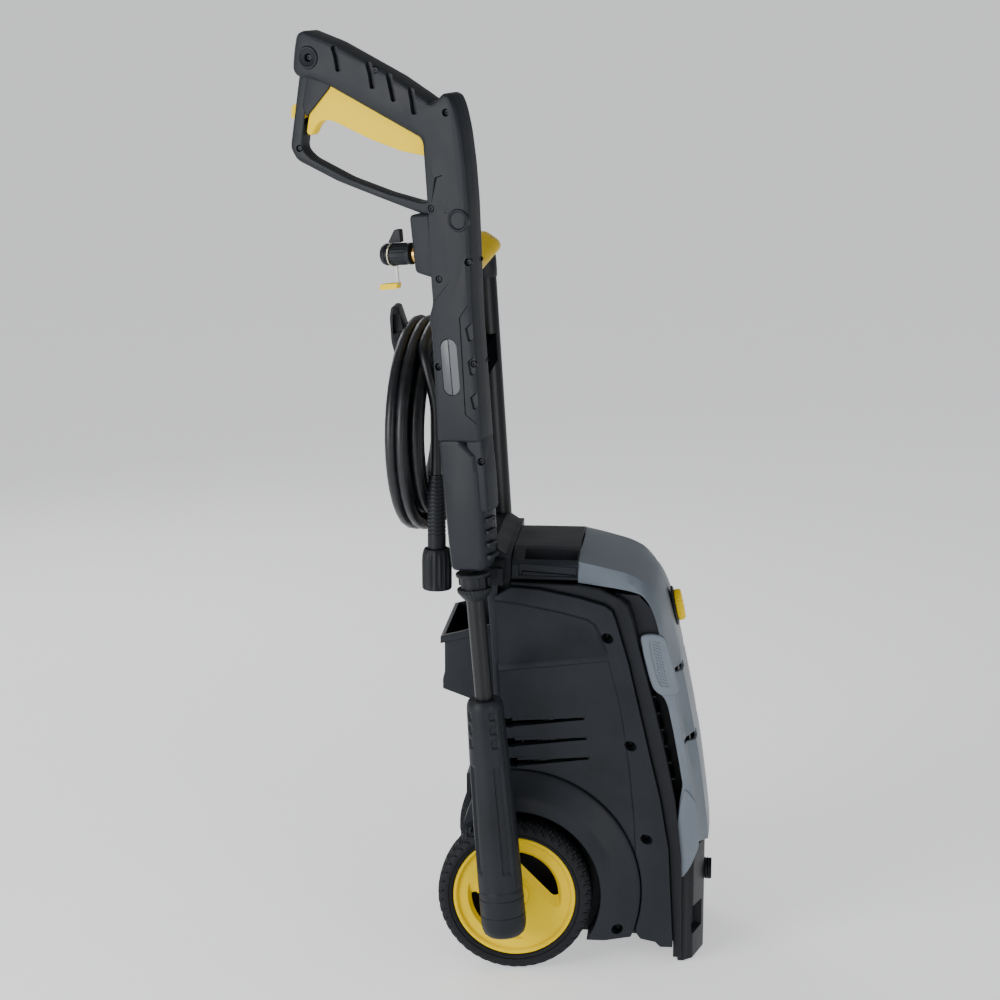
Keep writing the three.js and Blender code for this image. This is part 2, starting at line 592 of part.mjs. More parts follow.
place('forearm_sleeve', cut(slab([[-19, 499.5], [29, 499.5], [24, 470], [22, 385], [18, 373],
  [-18, 373], [-19, 470]], -17, 17, 6),
  upLance(rod(5.4, 360, 520))), BLACK, gun);
place('bayonet_collar', upLance(turned([[0, 343], [10.5, 343], [17, 351], [17, 355], [13, 355],
  [13, 367], [17, 367], [17, 370.6],
  [0, 370.6]])), BLACK, gun);
place('lance_tube', upLance(rod(LANCE_R, 243.4, 342.6)), TUBE_BLACK, gun);
place('nozzle_body', upLance(turned([[0, 50], [21.5, 50], [20, 175], [17.6, 238], [15.5, 243],
  [0, 243]], 32)), BLACK, gun);
place('nozzle_ring', upLance(turned([[2, 20], [2, 8], [6, 8], [10, 0], [14, 0], [20, 4], [22.4, 14],
  [21.6, 49.6], [0, 49.6],
  [0, 20]], 32)), BLACK, gun);

// The holder's fork grips the collar's groove; its foot is screwed to the side of the handle mount.
function lanceHolder() {
  const fork = cut(
    join(upLance(ring(13.3, 16.6, 356.5, 365.5)), slab([[-8, 356.5], [8, 356.5], [8, 365.5],
      [-8, 365.5]], -40, -14)),
    box([-20, 350, 0], [20, 372, 40]),
    upLance(rod(13.3, 350, 370)),
  );
  fork.applyMatrix4(new THREE.Matrix4().compose(gun.position, gun.quaternion, new THREE.Vector3(1, 1,
    1)));
  const foot = box([-26, -112, 396], [-12, -BODY_HALF - GAP, 417]);
  const neck = box([-40, -118, 404], [-12, -104, 414]);
  return join(fork, foot, neck);
}
place('lance_holder', cut(lanceHolder(), tubeClearance(-1)), BLACK);

// ---- motor and pump -----------------------------------------------------------------------------
const onShaft = (geometry) => geometry.translate(MOTOR_X, 0, 0);
place('motor_can', onShaft(turned([[6.4, 190], [MOTOR_R, 190], [MOTOR_R, 335], [6.4, 335], [6.4, 329],
  [33, 329], [33, 196],
  [6.4, 196]], 32)), ALLOY);
place('motor_rotor', onShaft(turned([[0, 162], [6, 162], [6, 199], [30, 199], [30, 326], [6, 326],
  [6, 340], [44, 340], [44, 352],
  [6, 352], [6, 358], [0, 358]], 32)), STEEL);
place('swash_plate', onShaft(turned([[6.3, 164], [26, 164], [26, 176], [6.3, 176]])), STEEL);
const pistons = [0, 1, 2].map((i) => {
  const angle = (i * 2 * Math.PI) / 3;
  return rod(5.5, 140, 163.7, 16).translate(19 * Math.cos(angle), 19 * Math.sin(angle), 0);
});
const pumpBlock = turned([[0, 60], [36, 60], [36, 142], [0, 142]], 32);
place('pump', onShaft(join(pumpBlock, box([30, -40, 66], [54.5, 40, 94]), ...pistons)), ALLOY);
place('capacitor', rod(15, 120, 180).translate(20, 58, 0), ALLOY);

// The origin is on the floor under the middle of the machine, measured without the hose.
const CORD = /^hose_(?!hook)/;
washer.updateMatrixWorld(true);
const extent = new THREE.Box3();
washer.traverse((piece) => {
  if (piece.isMesh && !CORD.test(piece.name)) extent.expandByObject(piece, true);
});
const middle = extent.getCenter(new THREE.Vector3());
washer.position.set(-middle.x, -middle.y, -extent.min.z);
washer.updateMatrixWorld(true);

export default washer;
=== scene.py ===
import math

import bmesh
import bpy
import numpy as np
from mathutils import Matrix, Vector


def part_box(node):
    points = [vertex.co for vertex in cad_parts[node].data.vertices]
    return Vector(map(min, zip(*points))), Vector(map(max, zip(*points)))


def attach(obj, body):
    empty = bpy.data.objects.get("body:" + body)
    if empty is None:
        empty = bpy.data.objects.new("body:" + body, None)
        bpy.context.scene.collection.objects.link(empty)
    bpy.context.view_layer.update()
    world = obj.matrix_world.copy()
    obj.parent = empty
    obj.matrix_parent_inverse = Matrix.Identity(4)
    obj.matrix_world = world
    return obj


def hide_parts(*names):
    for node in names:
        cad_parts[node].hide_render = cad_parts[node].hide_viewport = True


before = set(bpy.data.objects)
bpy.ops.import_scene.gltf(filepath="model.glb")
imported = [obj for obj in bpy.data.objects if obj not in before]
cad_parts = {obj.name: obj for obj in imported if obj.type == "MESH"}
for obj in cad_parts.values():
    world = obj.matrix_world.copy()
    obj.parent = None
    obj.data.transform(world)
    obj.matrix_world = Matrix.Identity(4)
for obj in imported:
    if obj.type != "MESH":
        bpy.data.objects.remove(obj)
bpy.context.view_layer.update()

# ==== Camera, light and floor ==========================================================
# The camera stands at waist height, 2.4 m to the machine's right and a little forward of its
# wheel. Lengths are in millimetres from the middle of the axle on the floor, and row() takes them
# to the row frame. Four soft lamps and a dim, even sky light a pale floor.
axle_low, axle_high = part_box("axle")
ORIGIN = np.array([(axle_low.x + axle_high.x) / 2, (axle_low.y + axle_high.y) / 2, 0.0])


def row(points):
    """Row-frame metres of points given in millimetres from the axle's middle on the floor."""
    return np.asarray(points, float) / 1000.0 + ORIGIN


def aim(thing, place, target):
    """Puts a camera or a lamp at place, looking at target."""
    thing.location = row(place)
    look = Vector(row(target) - row(place))
    thing.rotation_euler = look.to_track_quat("-Z", "Y").to_euler()
    bpy.context.scene.collection.objects.link(thing)


eye = bpy.data.objects.new("eye", bpy.data.cameras.new("eye"))
eye.data.sensor_width = 36.0
eye.data.lens = 86.4
aim(eye, (191.6, -2378.9, 965.2), (14.2, -430.7, 549.4))
bpy.context.scene.camera = eye

for name, place, size, power in (
        ("window_left", (-1500, -1600, 800), 1.1, 36),
        ("window_right", (1500, -1900, 700), 1.1, 15),
        ("ceiling", (-200, -300, 2300), 1.0, 3),
        ("back_rim", (-1100, 1500, 1400), 1.0, 12)):
    lamp = bpy.data.lights.new(name, "AREA")
    lamp.shape = "SQUARE"
    lamp.size = size
    lamp.energy = power
    aim(bpy.data.objects.new(name, lamp), place, (0, 0, 420))


def linear(hex_colour):
    """Linear colour, with alpha 1, of an sRGB hex colour."""
    srgb = np.array([int(hex_colour[i:i + 2], 16) for i in (1, 3, 5)]) / 255.0
    low = srgb / 12.92
    high = ((srgb + 0.055) / 1.055) ** 2.4
    return (*np.where(srgb <= 0.04045, low, high).tolist(), 1.0)


world = bpy.data.worlds.new("studio")
bpy.context.scene.world = world
world.use_nodes = True
sky = world.node_tree.nodes["Background"]
sky.inputs["Color"].default_value = linear("#f7f8fb")
sky.inputs["Strength"].default_value = 0.3


def add(material, kind, inputs=None, **settings):
    """Adds one node. inputs holds a value for each named socket, or the socket it is linked from."""
    node = material.node_tree.nodes.new(kind)
    for key, value in settings.items():
        setattr(node, key, value)
    for key, value in (inputs or {}).items():
        if isinstance(value, bpy.types.NodeSocket):
            material.node_tree.links.new(value, node.inputs[key])
        else:
            node.inputs[key].default_value = value
    return node


def surface(name, roughness, metallic=0.0, **sockets):
    """A material with its shader's own sockets set, its shader and its Object coordinates."""
    material = bpy.data.materials.new(name)
    material.use_nodes = True
    shader = material.node_tree.nodes["Principled BSDF"]
    shader.inputs["Roughness"].default_value = roughness
    shader.inputs["Metallic"].default_value = metallic
    for key, value in sockets.items():
        shader.inputs[key.replace("_", " ")].default_value = value
    place = add(material, "ShaderNodeTexCoord").outputs["Object"]
    return material, shader, place


def wire(material, socket, target):
    """Links a node's output to a shader's input."""
    material.node_tree.links.new(socket, target)


# Painted studio floor: a very pale, almost matt sheet with a faint unevenness from the roller. It
# glows a little, as if lit from below, and reaches past the horizon on every side.
floor_paint, floor_shader, floor_place = surface("floor_paint", 0.75)
roller = add(floor_paint, "ShaderNodeTexNoise", {"Vector": floor_place, "Scale": 5.0, "Detail": 3.0})
floor_tint = add(floor_paint, "ShaderNodeValToRGB", {"Fac": roller.outputs["Fac"]})
floor_tint.color_ramp.elements[0].color = linear("#f6f7f8")
floor_tint.color_ramp.elements[1].color = linear("#fcfcfd")
wire(floor_paint, floor_tint.outputs["Color"], floor_shader.inputs["Base Color"])
floor_shader.inputs["Emission Color"].default_value = linear("#f7f8fa")
floor_shader.inputs["Emission Strength"].default_value = 0.62
floor_mesh = bpy.data.meshes.new("floor")
FLOOR_REACH = 700.0
FLOOR_DROP = 0.0006
floor_corners = [(-1, -1), (1, -1), (1, 1), (-1, 1)]
floor_mesh.from_pydata([(x * FLOOR_REACH, y * FLOOR_REACH, -FLOOR_DROP) for x, y in floor_corners], [],
                       [(0, 1, 2, 3)])
floor = bpy.data.objects.new("floor", floor_mesh)
floor_mesh.materials.append(floor_paint)
bpy.context.scene.collection.objects.link(floor)

# ==== High-pressure hose ===============================================================
# Five metres of 6 mm bore hose with a braid under a smooth black PVC cover, wound in eight
# turns over the hook at the back; both its ends hang down on the machine's side of the coil.
HOSE_RADIUS = 5.75
COIL_MIDDLE = np.array([-98.0, 0.0, 536.5])
coil_turn = math.radians(-8)
coil_axis = np.array([math.cos(coil_turn), math.sin(coil_turn), 0.0])
coil_side = np.array([-math.sin(coil_turn), math.cos(coil_turn), 0.0])
# Each turn's radius and its place across the coil, and where in a turn it passes to the next.
TURNS = [(103.0, 10.7), (103.0, 0.0), (103.0, -10.7), (90.4, -10.7), (77.8, -10.7), (77.8, 0.0),
         (90.4, 0.0), (77.8, 10.7), (90.4, 10.7)]
CROSSING_START = 0.68
CROSSING_LENGTH = 0.16


def smooth(t):
    """0 before t = 0, 1 after t = 1 and an S-shaped step in between."""
    t = np.clip(t, 0, 1)
    return t * t * (3 - 2 * t)


def wound(angle):
    """The coil's centreline at an angle in turns from its right side, going up and over. In each
    turn the radius and the place across the coil are those of TURNS, and they pass to the next
    turn's over a sixth of a turn under the coil."""
    turn = np.array(TURNS)
    crossings = np.arange(len(turn) - 1) + CROSSING_START
    step = smooth((angle[:, None] - crossings) / CROSSING_LENGTH)
    radius, across = (turn[0] + step @ np.diff(turn, axis=0)).T
    phase = angle * 2 * np.pi
    flat = -radius * np.cos(phase)
    return (COIL_MIDDLE + across[:, None] * coil_axis + flat[:, None] * coil_side
            + (radius * np.sin(phase))[:, None] * np.array([0, 0, 1.0]))


def bridge(a, a_way, b, b_way, count):
    """A cubic from a to b, whose directions at the ends are a_way and b_way."""
    t = np.linspace(0, 1, count + 2)[1:-1, None]
    return ((2 * t**3 - 3 * t**2 + 1) * a + (t**3 - 2 * t**2 + t) * a_way
            + (-2 * t**3 + 3 * t**2) * b + (t**3 - t**2) * b_way)


# The near end rises from its nut to the coil, and the far end drops from the coil to its plug.
NEAR_END = np.array([-81.7, -70.0])
FAR_END = np.array([-63.2, 70.0])
turned_over = wound(np.linspace(0.17, 8.33, 300))
rise = np.stack([np.full(7, NEAR_END[0]), np.full(7, NEAR_END[1]), np.linspace(497.3, 558, 7)], 1)
drop = np.stack([np.full(8, FAR_END[0]), np.full(8, FAR_END[1]), np.linspace(560, 450.4, 8)], 1)
start_way = (turned_over[1] - turned_over[0]) / np.linalg.norm(turned_over[1] - turned_over[0])
end_way = (turned_over[-1] - turned_over[-2]) / np.linalg.norm(turned_over[-1] - turned_over[-2])
up = np.array([0, 0, 1.0])
hose_line = np.concatenate([
    rise, bridge(rise[-1], 75 * up, turned_over[0], 75 * start_way, 9), turned_over,
    bridge(turned_over[-1], 75 * end_way, drop[0], -75 * up, 9), drop])


def grid_faces(rows, columns, closed_rows=False, closed_columns=False):
    """Quads of a grid of rows x columns vertices, numbered row by row."""
    i = np.arange(rows if closed_rows else rows - 1)[:, None]
    j = np.arange(columns if closed_columns else columns - 1)[None, :]
    i2, j2 = (i + 1) % rows, (j + 1) % columns
    quads = np.stack([i * columns + j, i * columns + j2, i2 * columns + j2, i2 * columns + j], -1)
    return quads.reshape(-1, 4).tolist()


def piece(name, parts, body, material, sharp=35, replaces=()):
    """One object from parts, each (vertices in millimetres, faces). Edges sharper than the angle
    stay crisp and the rest is shaded smooth."""
    vertices, faces, base = [], [], 0
    for points, part_faces in parts:
        points = np.asarray(points, float)
        vertices.append(row(points))
        faces += [[base + k for k in face] for face in part_faces]
        base += len(points)
    mesh = bpy.data.meshes.new(name)
    mesh.from_pydata(np.concatenate(vertices).tolist(), [], faces)
    mesh.update()
    made = bpy.data.objects.new(name, mesh)
    bpy.context.scene.collection.objects.link(made)
    face_outwards(mesh)
    mesh.shade_smooth()
    mesh.set_sharp_from_angle(angle=math.radians(sharp))
    mesh.materials.append(material)
    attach(made, body)
    if replaces:
        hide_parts(*replaces)
    return made


def face_outwards(mesh):
    """Turns every closed shell of a mesh so that its faces point out."""
    work = bmesh.new()
    work.from_mesh(mesh)
    bmesh.ops.recalc_face_normals(work, faces=work.faces)
    work.to_mesh(mesh)
    work.free()
    mesh.update()


def tube(line, radius, reference, sides=16):
    """A circle of the radius carried along a line, square to it and closed at both ends. At each
    point the circle starts towards reference, less its part along the line."""
    line = np.asarray(line, float)
    way = np.gradient(line, axis=0)
    way /= np.linalg.norm(way, axis=1, keepdims=True)
    across = reference - (way @ reference)[:, None] * way
    across /= np.linalg.norm(across, axis=1, keepdims=True)
    over = np.cross(way, across)
    angle = np.arange(sides) * 2 * np.pi / sides
    radius = np.broadcast_to(np.asarray(radius, float), len(line))[:, None, None]
    ring = np.cos(angle)[None, :, None] * across[:, None] + np.sin(angle)[None, :, None] * over[:, None]
    points = (line[:, None] + radius * ring).reshape(-1, 3)
    faces = grid_faces(len(line), sides, closed_columns=True)
    last = (len(line) - 1) * sides
    faces += [list(range(sides))[::-1], [last + k for k in range(sides)]]
    return points, faces


# Black PVC hose cover: extruded, so smooth with faint scuffs along it and a soft gloss.
hose_pvc, hose_shader, hose_place = surface("hose_pvc", 0.38, Specular_IOR_Level=0.4)
scuff = add(hose_pvc, "ShaderNodeTexNoise", {"Vector": hose_place, "Scale": 90.0, "Detail": 5.0})
hose_tint = add(hose_pvc, "ShaderNodeValToRGB", {"Fac": scuff.outputs["Fac"]})
hose_tint.color_ramp.elements[0].position = 0.35
hose_tint.color_ramp.elements[0].color = linear("#0f1114")
hose_tint.color_ramp.elements[1].position = 0.75
hose_tint.color_ramp.elements[1].color = linear("#1c1f24")
wire(hose_pvc, hose_tint.outputs["Color"], hose_shader.inputs["Base Color"])
hose_gloss = add(hose_pvc, "ShaderNodeMapRange", {"Value": scuff.outputs["Fac"], "To Min": 0.28,
                                                  "To Max": 0.5})
wire(hose_pvc, hose_gloss.outputs["Result"], hose_shader.inputs["Roughness"])

hose = piece("high_pressure_hose", [tube(hose_line, HOSE_RADIUS, coil_axis)], "washer", hose_pvc,
             replaces=("hose_coil", "hose_drop_right", "hose_drop_left"))

# ==== Hose ends ========================================================================
# The near end has a long ribbed rubber sleeve against kinking and a black hand-screwed nut with
# deep flutes, M22 inside. The far end is a short brass plug in a crimped ferrule.


def turned(profile, sides=96, bump=None):
    """A profile of (radius, height) turned about +Z. bump(angle, t) is added to the radius, where
    t is each profile point's number. Points on the axis close the ends."""
    profile = np.asarray(profile, float)
    angle = np.arange(sides) * 2 * np.pi / sides
    radius = np.repeat(profile[:, :1], sides, 1)
    if bump is not None:
        radius = radius + np.where(radius > 0, bump(angle[None, :], np.arange(len(profile))[:, None]), 0)
    points = np.stack([radius * np.cos(angle), radius * np.sin(angle), np.repeat(profile[:, 1:], sides, 1)],
                      -1)
    faces = grid_faces(len(profile), sides, closed_columns=True)
    last = (len(profile) - 1) * sides
    faces += [list(range(sides))[::-1], [last + k for k in range(sides)]]
    return points.reshape(-1, 3), faces


def ribbed(count, depth, first, last, power=1):
    """A bump for turned(): between the profile's points first and last, count grooves run along
    the axis. A groove is depth times half of one plus the cosine of count times the angle, raised
    to a power that makes it wide or narrow."""
    def relief(angle, t):
        return -depth * (0.5 + 0.5 * np.cos(angle * count)) ** power * ((t >= first) & (t <= last))
    return relief


def moulded(name, colour, wear, roughness, grain_mm=0.8, grain=0.12, shine=0.22):
    """Moulded plastic: a fine spark-eroded grain, broad faint changes of tone, and gloss that
    varies with handling. The real grain is about 0.2 mm wide, and it is drawn at grain_mm so that
    it shows."""
    material, shader, place = surface(name, roughness, IOR=1.5, Specular_IOR_Level=shine)
    tone = add(material, "ShaderNodeTexNoise", {"Vector": place, "Scale": 14.0, "Detail": 6.0,
                                                "Roughness": 0.6})
    ramp = add(material, "ShaderNodeValToRGB", {"Fac": tone.outputs["Fac"]})
    ramp.color_ramp.elements[0].position = 0.3
    ramp.color_ramp.elements[0].color = linear(colour)
    ramp.color_ramp.elements[1].position = 0.72
    ramp.color_ramp.elements[1].color = linear(wear)
    wire(material, ramp.outputs["Color"], shader.inputs["Base Color"])
    gloss = add(material, "ShaderNodeMapRange", {"Value": tone.outputs["Fac"], "From Min": 0.3,
                                                 "From Max": 0.7, "To Min": roughness - 0.07,
                                                 "To Max": roughness + 0.09})
    wire(material, gloss.outputs["Result"], shader.inputs["Roughness"])
    grit = add(material, "ShaderNodeTexNoise", {"Vector": place, "Scale": 1000.0 / grain_mm / 2,
                                                "Detail": 2.0})
    relief = add(material, "ShaderNodeBump", {"Height": grit.outputs["Fac"], "Strength": grain,
                                              "Distance": 0.0004})
    wire(material, relief.outputs["Normal"], shader.inputs["Normal"])
    return material


# Nylon with carbon black: dark, half matt, a little brighter where hands rub it.
black_nylon = moulded("black_nylon", "#121418", "#1b1e23", 0.44)
boot_z = np.linspace(423, 494, 72)
boot_r = 9.1 - 1.2 * np.clip((boot_z - 470) / 24, 0, 1) ** 2
boot_r = boot_r - 0.55 * ((np.arange(72) % 4) == 3) * (boot_z > 436)
boot_profile = [(0.0, 423.0), *zip(boot_r, boot_z), (7.2, 497.0), (0.0, 497.0)]
boot_points, boot_faces = turned(boot_profile, 48)
boot = piece("hose_boot_ribbed", [(boot_points + [NEAR_END[0], NEAR_END[1], 0], boot_faces)], "washer",
             black_nylon, 50, ["hose_boot"])

nut_profile = [(0, 403), (10.8, 403), (11.0, 402), (11.0, 382.5), (12.3, 381.2), (14.0, 381.2),
               (14.8, 382.5), (14.9, 386), (14.9, 392), (14.9, 400), (14.9, 410), (14.6, 416), (13.6, 420),
               (12.4, 422.4), (0, 422.6)]
nut_points, nut_faces = turned(nut_profile, 180, ribbed(18, 0.95, 7, 11, 0.6))
nut = piece("hose_nut_fluted", [(nut_points + [NEAR_END[0], NEAR_END[1], 0], nut_faces)], "washer",
            black_nylon, 40, ["hose_nut"])


def cast_metal(name, dark, light, roughness, scale_mm=3.0, bump=0.1):
    """Bare metal with a soft mottle of oxide, and turning or casting marks in its relief."""
    material, shader, place = surface(name, roughness, 1.0)
    mottle = add(material, "ShaderNodeTexNoise", {"Vector": place, "Scale": 1000.0 / scale_mm / 2,
                                                  "Detail": 4.0})
    ramp = add(material, "ShaderNodeValToRGB", {"Fac": mottle.outputs["Fac"]})
    ramp.color_ramp.elements[0].color = linear(dark)
    ramp.color_ramp.elements[1].color = linear(light)
    wire(material, ramp.outputs["Color"], shader.inputs["Base Color"])
    relief = add(material, "ShaderNodeBump", {"Height": mottle.outputs["Fac"], "Strength": bump,
                                              "Distance": 0.0003})
    wire(material, relief.outputs["Normal"], shader.inputs["Normal"])
    return material


# Free-cutting brass, turned: warm, bright, with a light tarnish.
turned_brass = cast_metal("turned_brass", "#a9823a", "#d9b465", 0.28)
plug_profile = [(0, 400.2), (5.2, 400.2), (5.9, 401), (5.9, 404), (5.0, 404.4), (5.0, 406.4), (5.9, 406.8),
                (5.9, 412), (9.2, 414), (9.4, 416), (9.4, 430), (8.4, 432), (8.4, 438), (7.9, 438.5),
                (7.9, 441), (8.4, 441.5), (8.4, 449.3), (7.8, 450), (0, 450)]
plug_points, plug_faces = turned(plug_profile, 48)
plug = piece("hose_plug_turned", [(plug_points + [FAR_END[0], FAR_END[1], 0], plug_faces)], "washer",
             turned_brass, 30, ["hose_plug"])

# ==== Tyres ============================================================================
# Hard black polypropylene rims with the tread moulded on: a ring of slanted blocks over the
# rounded shoulder, a plain crown and a thin groove round the side wall.
TYRE_PROFILE = [(61.9, 85.0), (64, 83.4), (67, 82.3), (70.5, 82.4), (73.5, 84.2), (75.8, 87), (77.1, 90.5),
                (77.45, 95), (77.5, 100), (77.5, 104), (77.45, 109), (77.1, 113.5), (76.3, 116.4),
                (75, 118.6), (73.2, 120.4), (71, 121.5), (68.6, 121.8), (66.4, 121.4), (66.0, 120.4),
                (65.2, 120.4), (64.8, 121.2), (63.2, 120.9), (61.9, 119.6)]
# Depth of the tread's gaps at each point of the profile, and how many blocks stand round it.
TREAD_DEPTH = [0, 0, 0.8, 1.6, 2.4, 2.6, 2.4, 2.1, 1.9, 1.9, 2.1, 2.4, 2.6, 2.6, 2.4, 1.9, 0.9]
TREAD_DEPTH += [0] * (len(TYRE_PROFILE) - len(TREAD_DEPTH))
BLOCKS = 46
SIDES = (("right", -1), ("left", 1))


def tread(angle, t):
    """A gap between two blocks sinks the radius by the depth at that point of the profile. The
    blocks repeat round the tyre, their phase leans over with the height, and a gap's walls are an
    S-shaped step of the distance from the gap's middle."""
    height = np.array([p[1] for p in TYRE_PROFILE])
    lean = height[t] * 0.016
    wave = np.abs(((angle * BLOCKS / (2 * np.pi) + lean * BLOCKS / 6.3) % 1) - 0.5)
    return -np.array(TREAD_DEPTH)[t] * smooth((0.2 - wave) / 0.06)


def ring_of(profile, sides, bump=None):
    """A closed profile of (radius, height) turned about +Z, which makes a ring with a hole."""
    points, faces = turned(profile, sides, bump)
    return points, grid_faces(len(profile), sides, closed_rows=True, closed_columns=True)


def on_axle(part, side):
    """Takes a part turned about +Z to the wheel on that side, its height becoming |y|."""
    points, faces = part
    return np.stack([points[:, 0], side * points[:, 2], points[:, 1] + 77.5], 1), faces


# Tyre plastic: matt black, a little rough to the touch.
tyre_black = moulded("tyre_polypropylene", "#0e1013", "#191c21", 0.58, 0.7, 0.2)
for name, side in SIDES:
    piece(name + "_tyre_treaded", [on_axle(ring_of(TYRE_PROFILE, 736, tread), side)], name + "_wheel",
          tyre_black, 40, [name + "_tyre"])

# ==== Wheel discs ======================================================================
# Yellow ABS, moulded in one: a flat dished face with two D-shaped openings, one the other's half
# turn, whose walls slope in, and a snap-in hub cap flush in the middle.


def loft(sections):
    """Equal outlines, one after another, joined by quads and closed at both ends."""
    sections = np.asarray(sections, float)
    rows, columns = sections.shape[:2]
    faces = grid_faces(rows, columns, closed_columns=True)
    last = (rows - 1) * columns
    faces += [list(range(columns))[::-1], [last + k for k in range(columns)]]
    return sections.reshape(-1, 3), faces


def carve(made, tools, sharp=35, operation="DIFFERENCE"):
    """Cuts each tool's closed shape out of a piece, or joins it on, and shades the result by its
    edges again."""
    for points, faces in tools:
        mesh = bpy.data.meshes.new("tool")
        mesh.from_pydata(row(points).tolist(), [], faces)
        face_outwards(mesh)
        tool = bpy.data.objects.new("tool", mesh)
        bpy.context.scene.collection.objects.link(tool)
        modifier = made.modifiers.new("cut", "BOOLEAN")
        modifier.object = tool
        modifier.operation = operation
        modifier.solver = "EXACT"
        bpy.context.view_layer.update()
        shape = bpy.data.meshes.new_from_object(made.evaluated_get(bpy.context.evaluated_depsgraph_get()))
        made.modifiers.clear()
        shape.name = made.name
        made.data = shape
        bpy.data.objects.remove(tool)
    made.data.shade_smooth()
    made.data.set_sharp_from_angle(angle=math.radians(sharp))


def opening(turn, levels):
    """A D between an arc round the axle and a chord, at each level of (|y|, arc radius, chord)."""
    sections = []
    for height, arc, chord in levels:
        half = math.acos((chord + 3) / arc) - 0.05
        angle = np.linspace(-half, half, 25)
        along, over = arc * np.cos(angle), arc * np.sin(angle)
        ends = np.array([[chord + 0.8, over[-1] - 2.2], [chord, over[-1] - 6], [chord, over[0] + 6],
                         [chord + 0.8, over[0] + 2.2]])
        flat = np.concatenate([np.stack([along, over], 1), ends])
        spin = np.array([[math.cos(turn), math.sin(turn)], [-math.sin(turn), math.cos(turn)]])
        sections.append(np.column_stack([flat @ spin, np.full(len(flat), height)]))
    return loft(sections)


DISC_PROFILE = [(6.3, 86.0), (13, 86), (13, 110.5), (55, 110.5), (57, 88), (57.4, 86.4), (58.2, 86),
                (61.0, 86.2), (61.6, 87), (61.6, 117.8), (61.2, 118.7), (60.3, 119), (58.9, 119),
                (58.2, 118.7), (57.6, 118), (56.2, 115.6), (55.2, 115.1), (54, 115), (14.6, 115.0),
                (14.2, 114.5), (13.7, 114.4), (13.3, 114.8), (12.9, 115.5), (12.2, 115.9), (0, 116.0),
                (0, 113.5), (6.3, 113.5)]
OPENING_LEVELS = [(104, 42.5, 29), (110, 43.5, 27.5), (114.2, 46.6, 20.6), (118, 49.5, 17.5)]
# Yellow ABS of the discs, the knob and the trigger: half gloss, from a polished mould.
yellow_abs = moulded("yellow_abs", "#eec800", "#f7d400", 0.42, 0.9, 0.05, 0.12)
for name, side in SIDES:
    disc = piece(name + "_disc", [on_axle(ring_of(DISC_PROFILE, 144), side)], name + "_wheel",
                 yellow_abs, 30, [name + "_wheel_disc"])
    carve(disc, [on_axle(opening(turn, OPENING_LEVELS), side) for turn in (math.pi / 4, math.pi * 5 / 4)],
          30)

# ==== Wheel arches =====================================================================
# Charcoal polypropylene fenders, each a moulded half bowl over its wheel: a sloping lip round the
# tyre, then a flat flank down to the seam with the side shell, and one screw at its front foot.


def outline_solid(corners, low, high, edge=1.5, place=None, curve=3.0, closed_low=True):
    """An outline in a plane, its corners rounded by curve, made thick from low to high. The rim is
    a quarter circle of radius edge, for which each level is the outline moved in along its
    corners' bisectors. place takes (a, b, height) to millimetres from the axle's middle."""
    corners = np.asarray(corners, float)
    turn = np.linspace(0, np.pi / 2, 4)
    moves = [(edge * (1 - np.sin(a)), edge * (1 - np.cos(a))) for a in turn]
    levels = [(shift, low + rise) for shift, rise in moves] if closed_low else [(0.0, low)]
    levels += [(shift, high - rise) for shift, rise in moves[::-1]]
    flats = [soften(inset(corners, shift), max(curve - shift, 0.05)) for shift, _ in levels]
    sections = [np.column_stack([flat, np.full(len(flat), height)]) for flat,
                (_, height) in zip(flats, levels)]
    points, faces = loft(sections)
    return (place(points) if place else points), faces


def soften(flat, curve, steps=4):
    """Each corner of an outline becomes a short parabola that starts curve before it, or less
    where its sides are short."""
    before, after = np.roll(flat, 1, 0) - flat, np.roll(flat, -1, 0) - flat
    reach_a = np.minimum(curve, 0.45 * np.linalg.norm(before, axis=1))
    reach_b = np.minimum(curve, 0.45 * np.linalg.norm(after, axis=1))
    start = flat + before / np.linalg.norm(before, axis=1, keepdims=True) * reach_a[:, None]
    end = flat + after / np.linalg.norm(after, axis=1, keepdims=True) * reach_b[:, None]
    t = np.linspace(0, 1, steps)[None, :, None]
    return ((1 - t) ** 2 * start[:, None] + 2 * t * (1 - t) * flat[:, None] + t**2
            * end[:, None]).reshape(-1, 2)


def inset(flat, distance):
    """An outline moved inwards by a distance, each corner along its bisector."""
    if distance == 0:
        return flat
    x, y = flat.T
    sign = np.sign(np.sum(x * np.roll(y, -1) - np.roll(x, -1) * y))
    edge = np.roll(flat, -1, 0) - flat
    edge /= np.maximum(np.linalg.norm(edge, axis=1, keepdims=True), 1e-9)
    normal = sign * np.column_stack([-edge[:, 1], edge[:, 0]])
    both = normal + np.roll(normal, 1, 0)
    scale = np.maximum(np.sum(both * both, axis=1, keepdims=True), 0.4)
    return flat + both * (2 * distance / scale)


def side_place(side):
    """Takes (x, z, |y|) to a place on that side of the machine."""
    return lambda p: np.column_stack([p[:, 0], side * p[:, 2], p[:, 1]])


# Charcoal polypropylene: half matt, with the mould's fine spark-eroded grain.
charcoal = moulded("charcoal_polypropylene", "#171a1e", "#22262c", 0.45)
ARCH_PROFILE = [(0.4, 77.2), (125.6, 77.2), (125.6, 98.6), (125.2, 99.8), (124.2, 100.8), (120, 102.6),
                (112.5, 106.4), (104.2, 110.8), (101.5, 111.8), (99, 112), (88, 112), (86.6, 111.6),
                (86.0, 110.6), (86.0, 80.6), (0.4, 80.6)]
# Black zinc plate on steel: dark, with a dull metal sheen, on every screw and pin.
zinc = cast_metal("black_zinc_plated_steel", "#141517", "#2b2c2f", 0.4)


